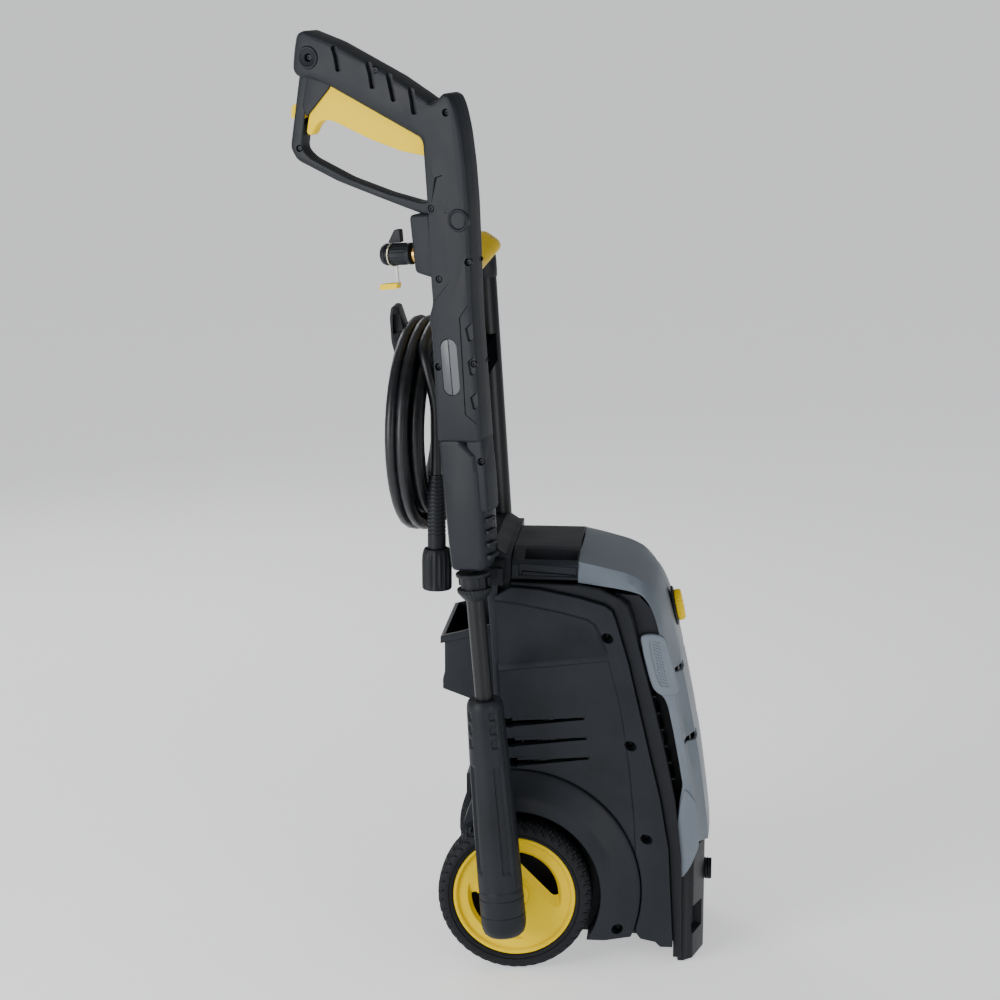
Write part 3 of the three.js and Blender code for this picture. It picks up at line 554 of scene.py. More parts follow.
def screw(name, x, y, z, head, out):
    """A domed pan head turned about a line along y, pointing out, with two slots cut across it."""
    profile = [(0, 0), (head, 0), (head, 0.5), (head * 0.93, 1.2), (head * 0.72, 1.8), (head * 0.3, 2.1),
               (0, 2.15)]
    points, faces = turned(profile, 32)
    points = np.column_stack([points[:, 0] + x, y + out * points[:, 2], points[:, 1] + z])
    made = piece(name, [(points, faces)], "washer", zinc, 35)
    slots = []
    for a, b in ((head * 0.55, 0.5), (0.5, head * 0.55)):
        box = np.array([(-a, -b), (a, -b), (a, b), (-a, b)])
        sections = [np.column_stack([box[:, 0] + x, np.full(4, y + out * h), box[:, 1] + z])
                    for h in (0.9, 3)]
        slots.append(loft(sections))
    carve(made, slots)
    return made


for name, side in SIDES:
    arch = piece(name + "_arch", [on_axle(ring_of(ARCH_PROFILE, 160), side)], "washer",
                 charcoal, 28, [name + "_wheel_arch"])
    keep = outline_solid([(-51.8, 31), (-51.8, 150), (-30, 215), (100, 215), (130, 110), (125.5, 31)], 60,
                         130, 0.01, side_place(side), 0.01)
    carve(arch, [keep], 28, "INTERSECT")
    well, well_faces = turned([(0, 98.8), (5.2, 98.8), (5.6, 100), (5.8, 114), (0, 114)], 32)
    well = np.column_stack([well[:, 0] + 103, side * well[:, 2], well[:, 1] + 42])
    carve(arch, [(well, well_faces)], 28)
    screw(name + "_arch_screw", 103, side * 99.2, 42, out=side, head=4.6)

# ==== Side shells ======================================================================
# Two charcoal polypropylene mouldings, 3.5 mm thick, screwed to the frame: a raised flange along
# the seam, a sunk field with a fold across it, three slanting vents and three deep screw wells.
SEAM = [(-6, 390.7), (23, 388.7), (63, 380.7), (87, 373.7), (94, 368.7), (98, 358.7), (111, 314.7),
        (123, 263.7), (134, 216.7), (144, 175.7), (153, 123.7), (158.6, 20)]
SHELL_EDGE = [(-21, 381), (-19, 337), (-16, 275), (-10, 203.5)]
arc = np.radians(np.linspace(94.5, -19, 40))
arch_line = [(126.5 * math.cos(a), 77.5 + 126.5 * math.sin(a)) for a in arc]
SHELL_SCREWS = [(90, 341), (114, 231), (131, 134)]
WELL_LEAN = math.radians(-28)
shell_outline = SHELL_EDGE + arch_line + [(126, 28), (141, 25), (146, 20)] + SEAM[::-1]


def prism(corners_low, low, corners_high, high, place):
    """A block whose outline changes from corners_low to corners_high between two heights."""
    sections = [np.column_stack([np.asarray(c, float), np.full(len(c), h)])
                for c, h in ((corners_low, low), (corners_high, high))]
    points, faces = loft(sections)
    return place(points), faces


for name, side in SIDES:
    at_side = side_place(side)
    shell = piece(name + "_shell", [outline_solid(shell_outline, 84, 98, 1.2, at_side, 0.8)], "washer",
                  charcoal, 25, [name + "_side_shell"])
    # The deep field above the fold, whose lower edge is the fold's slope, and the shallow field below.
    upper = [(-40, 381), (4, 375.4), (43, 368), (71, 361), (80, 355), (84, 346), (92, 322), (-40, 306)]
    upper_low = [(-40, 377), (4, 371.4), (43, 364.2), (69, 357.6), (76, 352.6), (79.4, 345.6), (82.6, 338),
                 (-40, 309)]
    lower = [(-40, 303), (91.5, 318.6), (96, 303), (102.6, 277), (107.6, 250), (114, 205), (119.5, 150),
             (122, 90), (122, 5), (-40, 5)]
    tools = [prism(upper_low, 93.6, upper, 98.4, at_side),
             prism(inset(np.array(lower, float), 1.5), 96.6, lower, 98.2, at_side)]
    for i in range(3):
        z, x = 258.0 - 20.5 * i, -9.0 + 2.5 * i
        vent_floor = [(x + 3, z - 1.2), (x + 77, z + 2.8), (x + 77, z - 1.2), (x + 3, z - 10.4)]
        vent_rim = [(x, z + 1), (x + 78, z + 3.6), (x + 78, z - 1.6), (x, z - 11.4)]
        tools.append(prism(vent_floor, 95.4, vent_rim, 98.6, at_side))
        slot = [(x + 4, z - 4.6), (x + 76, z + 0.6), (x + 76, z - 2.4), (x + 4, z - 10.8)]
        tools.append(prism(slot, 80, slot, 96.5, at_side))
        vent_end = [(x - 6, z - 2), (x + 5, z - 2), (x + 5, z - 11.4), (x - 6, z - 11.4)]
        tools.append(prism(vent_end, 82, vent_end, 99, at_side))
    for x, z in SHELL_SCREWS:
        angle = np.linspace(0, 2 * np.pi, 25)[:-1]
        wide = np.column_stack([6.6 * np.cos(angle), 4.9 * np.sin(angle)])
        cos, sin = math.cos(WELL_LEAN), math.sin(WELL_LEAN)
        wide = wide @ np.array([[cos, sin], [-sin, cos]]) + (x, z)
        deep = (wide - (x, z)) * 0.82 + (x - 0.8, z + 0.4)
        tools.append(prism(deep, 88, wide, 98.6, at_side))
    carve(shell, tools, 25)
    for k, (x, z) in enumerate(SHELL_SCREWS):
        screw(f"{name}_shell_screw_{k + 1}", x - 0.6, side * 88.1, z + 0.3, out=side, head=3.6)

# ==== Frame ============================================================================
# The front frame is one black moulding: a band down each side that runs forward over the top,
# and the wall behind the grey cover, ribbed where the motor's air goes out.
BAND_FRONT = [(-6, 394.6), (60, 392.6), (82, 388.6), (100, 380.6), (109, 372.6), (114, 358.6), (119, 338.6),
              (127, 307.6), (138, 266.6), (150, 215.6), (159, 173.6), (166, 110.6), (167, 7)]
band = [(x, z + 0.3) for x, z in SEAM[:-1]] + [(159, 22), (159, 7)] + BAND_FRONT[::-1]
wall = [(x - 0.3, z) for x, z in BAND_FRONT[3:-1]] + [(166, 30), (162.5, 30)]
wall += [(x - 3.8, z) for x, z in BAND_FRONT[3:-1][::-1]]


def across_place(points):
    """Takes (x, z, y) to millimetres from the axle's middle."""
    return points[:, [0, 2, 1]]


parts = [outline_solid(band, 84, 92, 1.6, side_place(side), 1.0) for side in (-1, 1)]
parts.append(outline_solid(wall, -84.5, 84.5, 0.3, across_place, 0.2))
for k in range(7):
    z = 296 - 17 * k
    x = np.interp(z, [p[1] for p in BAND_FRONT[::-1]], [p[0] for p in BAND_FRONT[::-1]])
    for side in (-1, 1):
        rib = [(x - 2, z), (x + 3.2, z), (x + 3.7, z - 2), (x - 2, z - 2)]
        parts.append(outline_solid(rib, 62, 82.5, 0.3, side_place(side), 0.4))
# Under the cover's shoulders and its middle the moulding is filled out, so there is no gap round
# the cover, and a strip runs down each side to the bumper.
for side in (-1, 1):
    cheek = [(96, 383), (120, 381), (134, 366), (141, 346), (140, 330), (122, 328), (113, 356), (106, 372)]
    parts.append(prism(cheek, 62, cheek, 81.4, side_place(side)))
    slope = [(100, 380), (109, 372.6), (114, 358.6), (119, 338.6)]
    slope_inner = slope + [(122, 338.6), (117, 360), (112, 375), (101, 383)]
    slope_outer = slope + [(119.5, 338.6), (114.5, 359), (109.5, 373), (100.5, 380.6)]
    parts.append(prism(slope_inner, 78, slope_outer, 90.6, side_place(side)))
    parts.append(outline_solid([(148, 124), (157, 124), (163, 24), (152, 24)], 80, 90, 0.5,
                               side_place(side), 0.5))
core = [(118, 336), (137.5, 266), (149.5, 215), (158.5, 173), (165, 122), (173, 122), (170, 173),
        (162, 215), (150, 266), (134, 332)]
parts.append(outline_solid(core, -58, 58, 0.5, across_place, 0.5))
piece("frame_bands", parts, "washer", black_nylon, 28, ["front_frame"])

# ==== Top cap and handle mount =========================================================
# The cap closes the body between the handle and the grey cover. A hand hold is moulded into each
# side: a recess in the top, and under it a sunk panel with a thin ridge that narrows outwards.


def along_x_place(points):
    """Takes (y, z, x) to millimetres from the axle's middle."""
    return points[:, [2, 0, 1]]


roof = [(-83.6, 395.4), (-83.6, 410.5), (-80, 414), (-45, 421), (45, 421), (80, 414), (83.6, 410.5),
        (83.6, 395.4)]
cap = piece("cap_roof", [outline_solid(roof, -6.2, 59.6, 0.8, along_x_place, 1.0)], "washer",
            charcoal, 7, ["top_cap"])
cap_tools = []
for side in (-1, 1):
    at_side = side_place(side)
    panel_floor = [(2, 411), (58, 407.5), (58, 399.5), (2, 400.5)]
    panel_rim = [(0, 413), (59, 409.5), (59, 398), (0, 398.8)]
    cap_tools.append(prism(panel_floor, 81.6, panel_rim, 84.2, at_side))
    recess_floor = [(7, 54), (58.8, 55), (58.8, 76.4), (7, 76.4)]
    recess_rim = [(5.5, 51), (58.8, 52), (58.8, 78.2), (5.5, 78.2)]
    cap_tools.append(prism(recess_floor, 402.5, recess_rim, 425, lambda p: p * (1, side, 1)))
carve(cap, cap_tools, 7)
ridge_parts = []
for side in (-1, 1):
    at_side = side_place(side)
    ridge_foot = [(4, 404.5), (57, 401), (57, 399.2), (4, 399.2)]
    ridge_top = [(5, 403.5), (56, 400.2), (56, 399.6), (5, 399.6)]
    ridge_parts.append(prism(ridge_foot, 81.0, ridge_top, 83.4, at_side))
piece("cap_hand_holds", ridge_parts, "washer", black_nylon, 24)

# ==== Front cover ======================================================================
# The grey cover is one satin polypropylene shell that wraps over the top and down the front; an
# arm down each side carries a wide upper pad with a pricked panel, and a small lower pad.
# Each row is (x, |y|, z) of four points, from the cover's side edge to near its middle.
COVER_ROWS = [
    ((59.8, 83.6, 393.5), (59.8, 82.6, 403), (60, 79.5, 413.4), (60, 45, 418)),
    ((70, 83.6, 392.3), (70, 82.4, 401), (70, 79, 411.5), (69, 45, 416.4)),
    ((82, 83.6, 390.5), (82, 82.2, 399.4), (81, 78.5, 409), (78, 45, 413.5)),
    ((97, 83.6, 388.4), (95, 82, 397), (93, 77.6, 406), (89, 45, 409.6)),
    ((111, 83.6, 386), (108.5, 81.8, 394), (104, 76.6, 403.4), (100, 45, 406)),
    ((119, 83.6, 383.6), (117.5, 81.4, 390), (114, 75, 399.4), (111, 45.5, 402)),
    ((124, 83.6, 381), (123.6, 80.8, 387), (121, 73.6, 396), (119, 46, 398.6)),
    ((131, 83.6, 372), (132, 79, 378), (132, 69.6, 385.6), (135, 46, 388)),
    ((136, 83.6, 360), (138, 77, 366), (139, 67, 372.6), (142.5, 46, 376)),
    ((140, 83.8, 346), (143.4, 76, 352), (145, 65, 356.6), (150, 46, 358.5)),
    ((145, 85, 322), (148, 76, 323), (151, 62, 324), (158, 46, 324)),
    ((153, 85, 284), (156, 74, 284), (159, 60, 284), (167, 46, 284)),
    ((161, 85, 244), (163.4, 73, 244), (166, 59, 244), (175, 46, 244)),
    ((168, 85, 206), (170.4, 72, 206), (173, 58, 206), (182, 46, 206)),
    ((172, 85, 168), (176, 72, 167), (180, 58, 166), (187.5, 46, 166)),
    ((173, 84, 138), (179, 71, 136), (185, 57, 134), (192, 46, 130)),
    ((171, 84, 121), (177.5, 70, 120), (184, 56, 119), (192.4, 45, 118.5))]


def cover_shell(rows, wall):
    """A grid from the left edge over the middle to the right edge, down row after row, and the
    same grid moved in by the wall along its normals; the rims join the two."""
    half = np.array(rows, float)
    left = half * (1, -1, 1)
    middle = half[:, 3:4] * (1, 0, 1) + (1.2, 0, 0.6)
    quarter = half[:, 3:4] * (1, 0.5, 1) + (0.9, 0, 0.45)
    outer = np.concatenate([left, quarter * (1, -1, 1), middle, quarter, half[:, ::-1]], 1)
    t = np.arange(outer.shape[0])
    fine = np.linspace(0, outer.shape[0] - 1, 3 * (outer.shape[0] - 1) + 1)
    flat = outer.reshape(outer.shape[0], -1)
    outer = np.stack([np.interp(fine, t, column) for column in flat.T], 1)
    for _ in range(2):
        outer[1:-1] = (outer[:-2] + 2 * outer[1:-1] + outer[2:]) / 4
    outer = outer.reshape(len(fine), -1, 3)
    down = np.gradient(outer, axis=0)
    over = np.gradient(outer, axis=1)
    normal = np.cross(over, down)
    normal /= np.linalg.norm(normal, axis=2, keepdims=True)
    inner = outer - normal * wall * np.sign(normal[len(fine) // 2, outer.shape[1] // 2, 0])
    side_edges = outer[:, [0, -1]]
    inner[:, [0, -1]] = side_edges + np.array([0, -wall, 0]) * np.sign(side_edges[..., 1:2])
    inner[..., 1] = np.clip(inner[..., 1], -81.8, 81.8)
    rows_n, columns = outer.shape[:2]
    faces = grid_faces(rows_n, columns)
    base = rows_n * columns
    faces += [[base + k for k in face[::-1]] for face in faces]
    for j in range(columns - 1):
        for i in (0, (rows_n - 1) * columns):
            faces.append([i + j, i + j + 1, base + i + j + 1, base + i + j])
    for i in range(rows_n - 1):
        for j in (0, columns - 1):
            a, b = i * columns + j, (i + 1) * columns + j
            faces.append([a, b, base + b, base + a])
    return np.concatenate([outer.reshape(-1, 3), inner.reshape(-1, 3)]), faces


# Grey polypropylene of the cover: satin, with soft broad highlights and hardly any grain.
grey_satin = moulded("grey_satin_polypropylene", "#5d656e", "#69727b", 0.4, 0.8, 0.05, 0.35)
cover = piece("cover_shell", [cover_shell(COVER_ROWS, 2.6)], "washer", grey_satin, 22,
              ["front_cover"])
# Two slanting notches on each side of the middle let the motor's air out.
cover_tools = []
for side in (-1, 1):
    at_side = side_place(side)
    for x, z in ((171.5, 299), (183.5, 227)):
        notch_in = [(x - 22, z - 0.5), (x - 2, z + 7), (x + 12, z + 7), (x + 12, z - 3), (x - 2, z - 3)]
        notch_out = [(x - 24, z - 0.5), (x - 12, z + 4.6), (x + 2, z + 4.6), (x + 2, z - 2.6),
                     (x - 12, z - 2.6)]
        cover_tools.append(prism(notch_in, 30, notch_out, 70, at_side))
carve(cover, cover_tools, 22)

UPPER_PAD = [(121.5, 342), (125, 322), (131.5, 297), (136, 286), (145, 280), (152, 281), (162, 284),
             (157, 305), (150, 330), (146, 341.5), (134, 344)]
ARM = [(140, 284), (146, 279), (150, 270), (155.5, 245), (161.5, 214), (166, 188), (163, 170), (160.8, 150),
       (163, 140), (176, 144), (178, 166), (175, 190), (171, 212), (164, 245), (157, 284), (152, 300)]
PANEL = np.array([(130, 337), (133.5, 318), (139, 298), (142.5, 290.5), (153, 290), (149.5, 308),
                  (143.5, 332), (141.5, 337)])
DOT_PITCH = 2.9
LOWER_PAD = [(168, 186), (163, 166), (160.6, 147), (161, 120), (166.2, 89), (175, 102), (183, 123),
             (184, 148), (181, 171)]
for name, side in SIDES:
    at_side = side_place(side)
    upper_pad = piece(name + "_upper_pad", [outline_solid(UPPER_PAD, 82, 88.4, 1.8, at_side, 5.0)],
                      "washer", grey_satin, 28)
    piece(name + "_cover_arm", [outline_solid(ARM, 82, 86.6, 1.2, at_side, 4.0)], "washer",
          grey_satin, 28)
    piece(name + "_lower_pad", [outline_solid(LOWER_PAD, 84.3, 88.6, 1.8, at_side, 5.0)], "washer",
          grey_satin, 28)
    # The panel's dots stand on a leaning grid whose every second row is moved by half a pitch, and
    # only where they are inside the panel and clear of its edges.
    prick = np.stack(np.meshgrid(np.arange(-4, 5), np.arange(-9, 9)), -1).reshape(-1, 2) * DOT_PITCH
    prick = prick + (DOT_PITCH / 2, 0) * (np.round(prick[:, 1:2] / DOT_PITCH) % 2)
    prick = prick @ np.array([[0.97, -0.25], [0.25, 0.97]]) + (141.5, 313)
    edge = np.roll(PANEL, -1, 0) - PANEL
    away = ((prick[:, None, 0] - PANEL[None, :, 0]) * edge[None, :, 1]
            - (prick[:, None, 1] - PANEL[None, :, 1]) * edge[None, :, 0]) / np.linalg.norm(edge, axis=1)
    inside = (np.abs(away).min(1) > 1.6) & (np.abs(np.sign(away).sum(1)) == len(PANEL))
    dots = []
    for x, z in prick[inside]:
        angle = np.linspace(0, 2 * np.pi, 9)[:-1]
        circle = np.column_stack([np.cos(angle), np.sin(angle)])
        sections = [np.column_stack([circle * r + (x, z), np.full(8, h)])
                    for r, h in ((0.95, 87.4), (0.9, 88.05), (0.55, 88.35))]
        points, faces = loft(sections)
        dots.append((at_side(points), faces))
    carve(upper_pad, [outline_solid(PANEL, 87.5, 89.5, 0.1, at_side, 3.0)], 28)
    piece(name + "_pad_dots", dots, "washer", grey_satin, 40)

# ==== Bumper, inlet and outlet =========================================================
# The black foot under the cover stands on the floor; the garden hose screws onto its plastic
# inlet, and the pressure hose onto the brass outlet beside it.
INLET_AT = (-28, 80)
OUTLET_AT = (28, 60)


def along_x(points, y, z):
    """Takes a part turned about +Z to a line along x at that y and z."""
    return np.column_stack([points[:, 2], points[:, 1] + y, points[:, 0] + z])


bumper_plan = [(163.2, -83.4), (169.5, -83.4), (173.5, -79), (178.5, -75), (189, -40), (189, 40),
               (178.5, 75), (173.5, 79), (169.5, 83.4), (163.2, 83.4)]
bumper = piece("bumper_foot", [outline_solid(bumper_plan, 0, 117.4, 1.4, None, 1.5)], "washer",
               black_nylon, 28, ["front_bumper"])
bumper_tools = []
for (y, z), radius in ((INLET_AT, 12), (OUTLET_AT, 11)):
    hole, hole_faces = turned([(0, 120), (radius, 120), (radius, 220), (0, 220)], 48)
    bumper_tools.append((along_x(hole, y, z), hole_faces))
for side in (-1, 1):
    corner_a, corner_b = np.array([178.5, side * 75.0]), np.array([189.0, side * 40.0])
    along = (corner_b - corner_a) / np.linalg.norm(corner_b - corner_a)
    out = np.array([abs(along[1]), side * abs(along[0])])
    window = np.array([(-4, 57), (30, 55), (30, 26), (-2, 26)], float)
    sections = []
    for depth, shrink in ((-7, 2.5), (1.5, 0)):
        flat = soften(inset(window, shrink), 3)
        sections.append(np.column_stack([corner_a + flat[:, :1] * along + depth * out, flat[:, 1]]))
    bumper_tools.append(loft(sections))
carve(bumper, bumper_tools, 28)


THREAD_POINTS = 138


def thread(angle, t):
    """A coarse thread: the radius follows a sine of the angle plus an eighth of a turn for each
    point along the axis, so its crests climb in a screw line."""
    return 0.45 * np.sin(angle + t * 2 * np.pi / 8) * ((t > 2) & (t < THREAD_POINTS - 1))


inlet_z = np.linspace(150, 195.5, THREAD_POINTS)
inlet_profile = [(8.0, 106), (10.9, 106), *[(10.8, z) for z in inlet_z], (10.2, 196.4), (8.6, 196.4),
                 (8.0, 195.6)]
inlet_points, inlet_faces = ring_of(inlet_profile, 96, thread)
piece("inlet_threaded", [(along_x(inlet_points, *INLET_AT), inlet_faces)], "washer",
      black_nylon, 50, ["water_inlet"])
outlet_z = np.linspace(150, 192, THREAD_POINTS)
outlet_profile = [(6.6, 106), (9.9, 106), *[(9.8, z) for z in outlet_z], (9.2, 192.8), (7.2, 192.8),
                  (6.6, 192.2)]
outlet_points, outlet_faces = ring_of(outlet_profile, 96, thread)
piece("outlet_threaded", [(along_x(outlet_points, *OUTLET_AT), outlet_faces)], "washer",
      turned_brass, 50, ["pressure_outlet"])

# ==== Switch knob ======================================================================
# A yellow ABS knob on the sloping front, with a shallow finger bar across its face and a ribbed
# rim, in a plain black ring; it turns a quarter turn between off and on.
knob_seat = np.array([152.6, 0, 351.0])
tilt = math.atan2(10, 47)
knob_out = np.array([math.cos(tilt), 0, math.sin(tilt)])
knob_up = np.array([-math.sin(tilt), 0, math.cos(tilt)])


def on_front(points):
    """Takes a part turned about +Z to the front face: its height goes out, its x goes up."""
    return (knob_seat + points[:, 2:] * knob_out + points[:, :1] * knob_up
            + points[:, 1:2] * np.array([0, 1.0, 0]))


knob_profile = [(0, 3.5), (15.4, 3.5), (16.0, 4.1), (16.1, 5), (15.9, 8), (15.4, 9.2), (14.6, 9.9),
                (13.6, 9.9), (12.6, 9.2), (12, 8.7), (0, 8.6)]
FINGER_BAR = [(-14.6, -3.4), (14.6, -2.2), (14.6, 2.2), (-14.6, 3.4)]
knob = [turned(knob_profile, 180, ribbed(30, 0.5, 2, 5, 2)),
        outline_solid(FINGER_BAR, 8.0, 10.3, 0.9, None, 2.0),
        turned([(0, -13.8), (5.8, -13.8), (5.8, 3.6), (0, 3.6)], 32)]
piece("knob_quarter_turn", [(on_front(points), faces) for points, faces in knob], "knob",
      yellow_abs, 30, ["switch_knob"])
bezel_profile = [(7.2, 0.7), (20.2, 0.7), (20.4, 1.6), (19.6, 2.7), (18.4, 3.0), (7.2, 3.0)]
bezel_points, bezel_faces = ring_of(bezel_profile, 96)
piece("knob_ring", [(on_front(bezel_points), bezel_faces)], "washer", black_nylon, 30,
      ["switch_bezel"])

# ==== Accessory bin and rear panel =====================================================
# An open black tray for nozzles hangs on the rear panel; its mouth has a turned-out rim.


def wedge(corners, half, edge, curve=1.0):
    """A side view (x, z) made thick across the machine, |y| up to half."""
    points, faces = outline_solid(corners, -half, half, edge, None, curve)
    return points[:, [0, 2, 1]], faces


BIN = [(-75, 326), (-75, 294), (-77, 286), (-77, 276), (-44, 264), (-21.5, 257), (-25.3, 342)]
BIN_MOUTH = [(-79, 331), (-79, 323.5), (-25.4, 336.5), (-25.6, 345)]
BIN_ROOM = [(-76.4, 340), (-72.6, 324), (-72.6, 294), (-74.5, 285), (-74.5, 278), (-44, 267), (-25.5, 261),
            (-28, 352), (-76.4, 352)]
BIN_GROOVE = [(-79.6, 281.5), (-76.3, 281.3), (-76.3, 280.2), (-79.6, 280.4)]
bin_tray = piece("bin_tray", [wedge(BIN, 65.3, 1.2)], "washer", charcoal, 28,
                 ["accessory_bin"])
carve(bin_tray, [wedge(BIN_MOUTH, 68, 1.0)], 28, "UNION")
carve(bin_tray, [wedge(BIN_ROOM, 63, 0.6), wedge(BIN_GROOVE, 70, 0.1)], 28)
REAR_RIM = [(-30, 392), (-19, 393), (-17, 340), (-14, 275), (-8, 206), (-14, 206), (-22, 275), (-26, 340)]
for name, side in SIDES:
    piece(name + "_rear_rim", [outline_solid(REAR_RIM, 72, 93, 1.2, side_place(side), 1.5)], "washer",
          charcoal, 28)


def dress(material, *nodes):
    """Gives the frame's own solids that stay in sight their material."""
    for node in nodes:
        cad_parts[node].data.materials.clear()
        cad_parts[node].data.materials.append(material)


dress(charcoal, "rear_panel")
dress(black_nylon, "base_tray", "handle_mount", "switch_box")
# The bracket between the tubes is an unpolished nylon moulding, quite matt and without shine, in a darker
# copy of the black nylon: the darker colour is painted shade, which keeps the bracket dark where at a
# grazing angle it would reflect the bright floor.
dress(moulded("matt_nylon_painted_shade", "#0b0c0e", "#101114", 0.85, shine=0.0), "hook_bracket")

# ==== Handle ===========================================================================
# Two steel tubes stand in the body and two thinner ones slide in them with the yellow grip. Black
# powder coat, with nylon bushes at the tops and a row of locking notches near the foot.
FOOT = np.array([-31.5, 0, 414.0])
rake = math.radians(3.7)
along_tube = np.array([-math.sin(rake), 0, math.cos(rake)])
tube_front = np.array([math.cos(rake), 0, math.sin(rake)])


def on_handle(points, y=0.0):
    """Takes (x across, y, height along the tube) from the handle's foot."""
    points = np.asarray(points, float)
    return (FOOT + points[:, :1] * tube_front + (points[:, 1:2] + y) * np.array([0, 1.0, 0])
            + points[:, 2:] * along_tube)


# Black powder coat: half gloss, with the slight orange peel that the melted powder leaves, drawn a
# little coarser than it is so that it shows.
powder_coat, powder_shader, powder_place = surface("black_powder_coat", 0.36, Specular_IOR_Level=0.3)
orange_peel = add(powder_coat, "ShaderNodeTexNoise", {"Vector": powder_place, "Scale": 420.0, "Detail": 2.0})
powder_tint = add(powder_coat, "ShaderNodeValToRGB", {"Fac": orange_peel.outputs["Fac"]})
powder_tint.color_ramp.elements[0].color = linear("#0c0d0f")
powder_tint.color_ramp.elements[1].color = linear("#14161a")
wire(powder_coat, powder_tint.outputs["Color"], powder_shader.inputs["Base Color"])
peel = add(powder_coat, "ShaderNodeBump", {"Height": orange_peel.outputs["Fac"], "Strength": 0.12,
                                           "Distance": 0.0004})
wire(powder_coat, peel.outputs["Normal"], powder_shader.inputs["Normal"])

outer_profile = [(11, -2), (12.2, -2), (12.5, -1.6), (12.5, 283), (12.2, 284), (11, 284)]
inner_profile = [(9.2, 20), (10.7, 20), (10.7, 303), (9.2, 303)]
bush_profile = [(10.95, 262), (12.7, 262), (13.3, 263), (13.6, 270), (13.6, 280), (13.2, 284.2),
                (12.2, 285), (10.95, 285)]
for name, side in SIDES:
    for part, profile, body in (("outer", outer_profile, "washer"), ("inner", inner_profile, "handle")):
        points, faces = ring_of(profile, 64)
        made = piece(f"{name}_{part}_tube_round", [(on_handle(points, side * 80), faces)], body,
                     powder_coat, 35, [f"{name}_{part}_tube"])
        if part == "outer":
            notches = []
            for k in range(6):
                block = np.array([(x, y, z) for z in (8 + 9 * k, 12.4 + 9 * k) for x, y in
                                  ((-14, 4), (-10.4, 4), (-10.4, -4), (-14, -4))])
                points, faces = loft(block.reshape(2, 4, 3))
                notches.append((on_handle(points, side * 80), faces))
            carve(made, notches, 35)
    points, faces = ring_of(bush_profile, 48)
    piece(name + "_tube_bush", [(on_handle(points, side * 80), faces)], "washer",
          black_nylon, 35)

# The grip is a yellow ABS cross bar with fine ribs round it, closed at both ends. Each rib is one
# wave of a cosine along the bar, taken off the section.
grip_section = soften(np.array([(-18, 285.4), (-18, 297), (-10, 308), (3, 308), (16, 298), (18.3, 291.5),
                                (14, 285.4)], float), 4.0, 7)
stations = np.concatenate([[-97.9, -97.2, -95.8], np.linspace(-94, 94, 189), [95.8, 97.2, 97.9]])
shrink = np.interp(np.abs(stations), [0, 94, 95.8, 97.2, 97.9], [0, 0, 0.5, 1.6, 3.4])
rib = 0.55 * (0.5 - 0.5 * np.cos(stations / 4.0 * 2 * np.pi)) * (np.abs(stations) < 70)
sections = []
for y, s, r in zip(stations, shrink, rib):
    flat = inset(grip_section, s + r)
    sections.append(np.column_stack([flat[:, 0], np.full(len(flat), y), flat[:, 1]]))
points, faces = loft(sections)
# The grip's ABS is a deeper, duller yellow than the discs.
grip_yellow = moulded("grip_abs_yellow", "#d0ae08", "#e0be10", 0.45, 0.9, 0.08, 0.15)
piece("hand_grip_ribbed", [(on_handle(points), faces)], "handle", grip_yellow, 40,
      ["hand_grip"])

# ==== Hose hook ========================================================================
# A black nylon arm screwed to the bracket between the tubes: it runs back under the coil and
# turns up into a plate that holds the turns, with a round button on its outside.
hook_parts = [wedge([(-59.3, 592), (-59.3, 603.4), (-113, 603.4), (-117.8, 606), (-117.8, 631), (-126, 656),
                     (-133, 656), (-134.5, 645), (-133, 620), (-129, 606), (-120, 592)], 16, 1.8, 3.0)]
button, button_faces = turned([(0, 0), (9, 0), (9, 5.2), (8.2, 6.6), (6.5, 7.4), (0, 7.6)], 48)
button = np.column_stack([-130.4 - button[:, 2], button[:, 1], button[:, 0] + 636])
hook_parts.append((button, button_faces))
hook = piece("hose_hook_arm", hook_parts, "washer", black_nylon, 28, ["hose_hook"])
carve(hook, [outline_solid([(-131, 649), (-124, 649), (-121, 632), (-131, 628)], 11, 17, 0.5,
                           side_place(side), 1.5) for side in (-1, 1)], 28)

# ==== Gun shells =======================================================================
# Two glass-filled nylon halves, screwed together: a straight casing, the grip that leaves it at
# the top, and a slim guard that loops under the trigger. Slots, ridges and wells are moulded in.
lean = math.radians(4.783)
swing = math.radians(20)
GUN_FOOT = np.array([-6.7, -148.0, 48.9])
lance_up = np.array([-math.sin(lean), 0, math.cos(lean)])
gun_side = np.array([math.cos(swing), -math.sin(swing), 0])
gun_side = gun_side - (gun_side @ lance_up) * lance_up
gun_side /= np.linalg.norm(gun_side)
gun_out = np.cross(gun_side, lance_up)


def on_gun(points):
    """Takes (x to the spine, y up the lance, z out to the machine's right) from the nozzle's mouth."""
    points = np.asarray(points, float)
    return GUN_FOOT + points[:, :1] * gun_side + points[:, 1:2] * lance_up + points[:, 2:] * gun_out


# Outlines in the gun's side view: towards the spine, and up the lance from the nozzle's mouth.
CASE = [(-8, 712), (-6.5, 784), (-24, 800), (-16, 826), (-2, 818), (8, 818), (14, 822), (19, 826),
        (27, 823.5), (31, 811), (34, 790), (35.4, 760), (35.2, 725), (33, 680), (30, 633), (28.4, 538),
        (28, 499), (-19, 500), (-17, 538), (-15, 605), (-17, 618), (-11, 632), (-11, 652)]
GRIP = [(6, 818), (-6, 827), (-30, 844), (-60, 861.5), (-90, 879), (-121, 892.5), (-129, 890), (-133.5, 875),
        (-137, 857), (-133, 850), (-118, 848), (-100, 839.5), (-3, 783)]
GUARD = [(-131, 862), (-151, 784), (-145, 772), (-103, 750), (-61, 733), (-28, 720), (-4, 711), (-4, 727),
         (-17, 727), (-50, 737), (-91, 753), (-130, 774), (-138, 783), (-119, 862)]
WEB = [(-124, 850), (-100, 841), (-102, 837), (-129, 812), (-133, 822)]
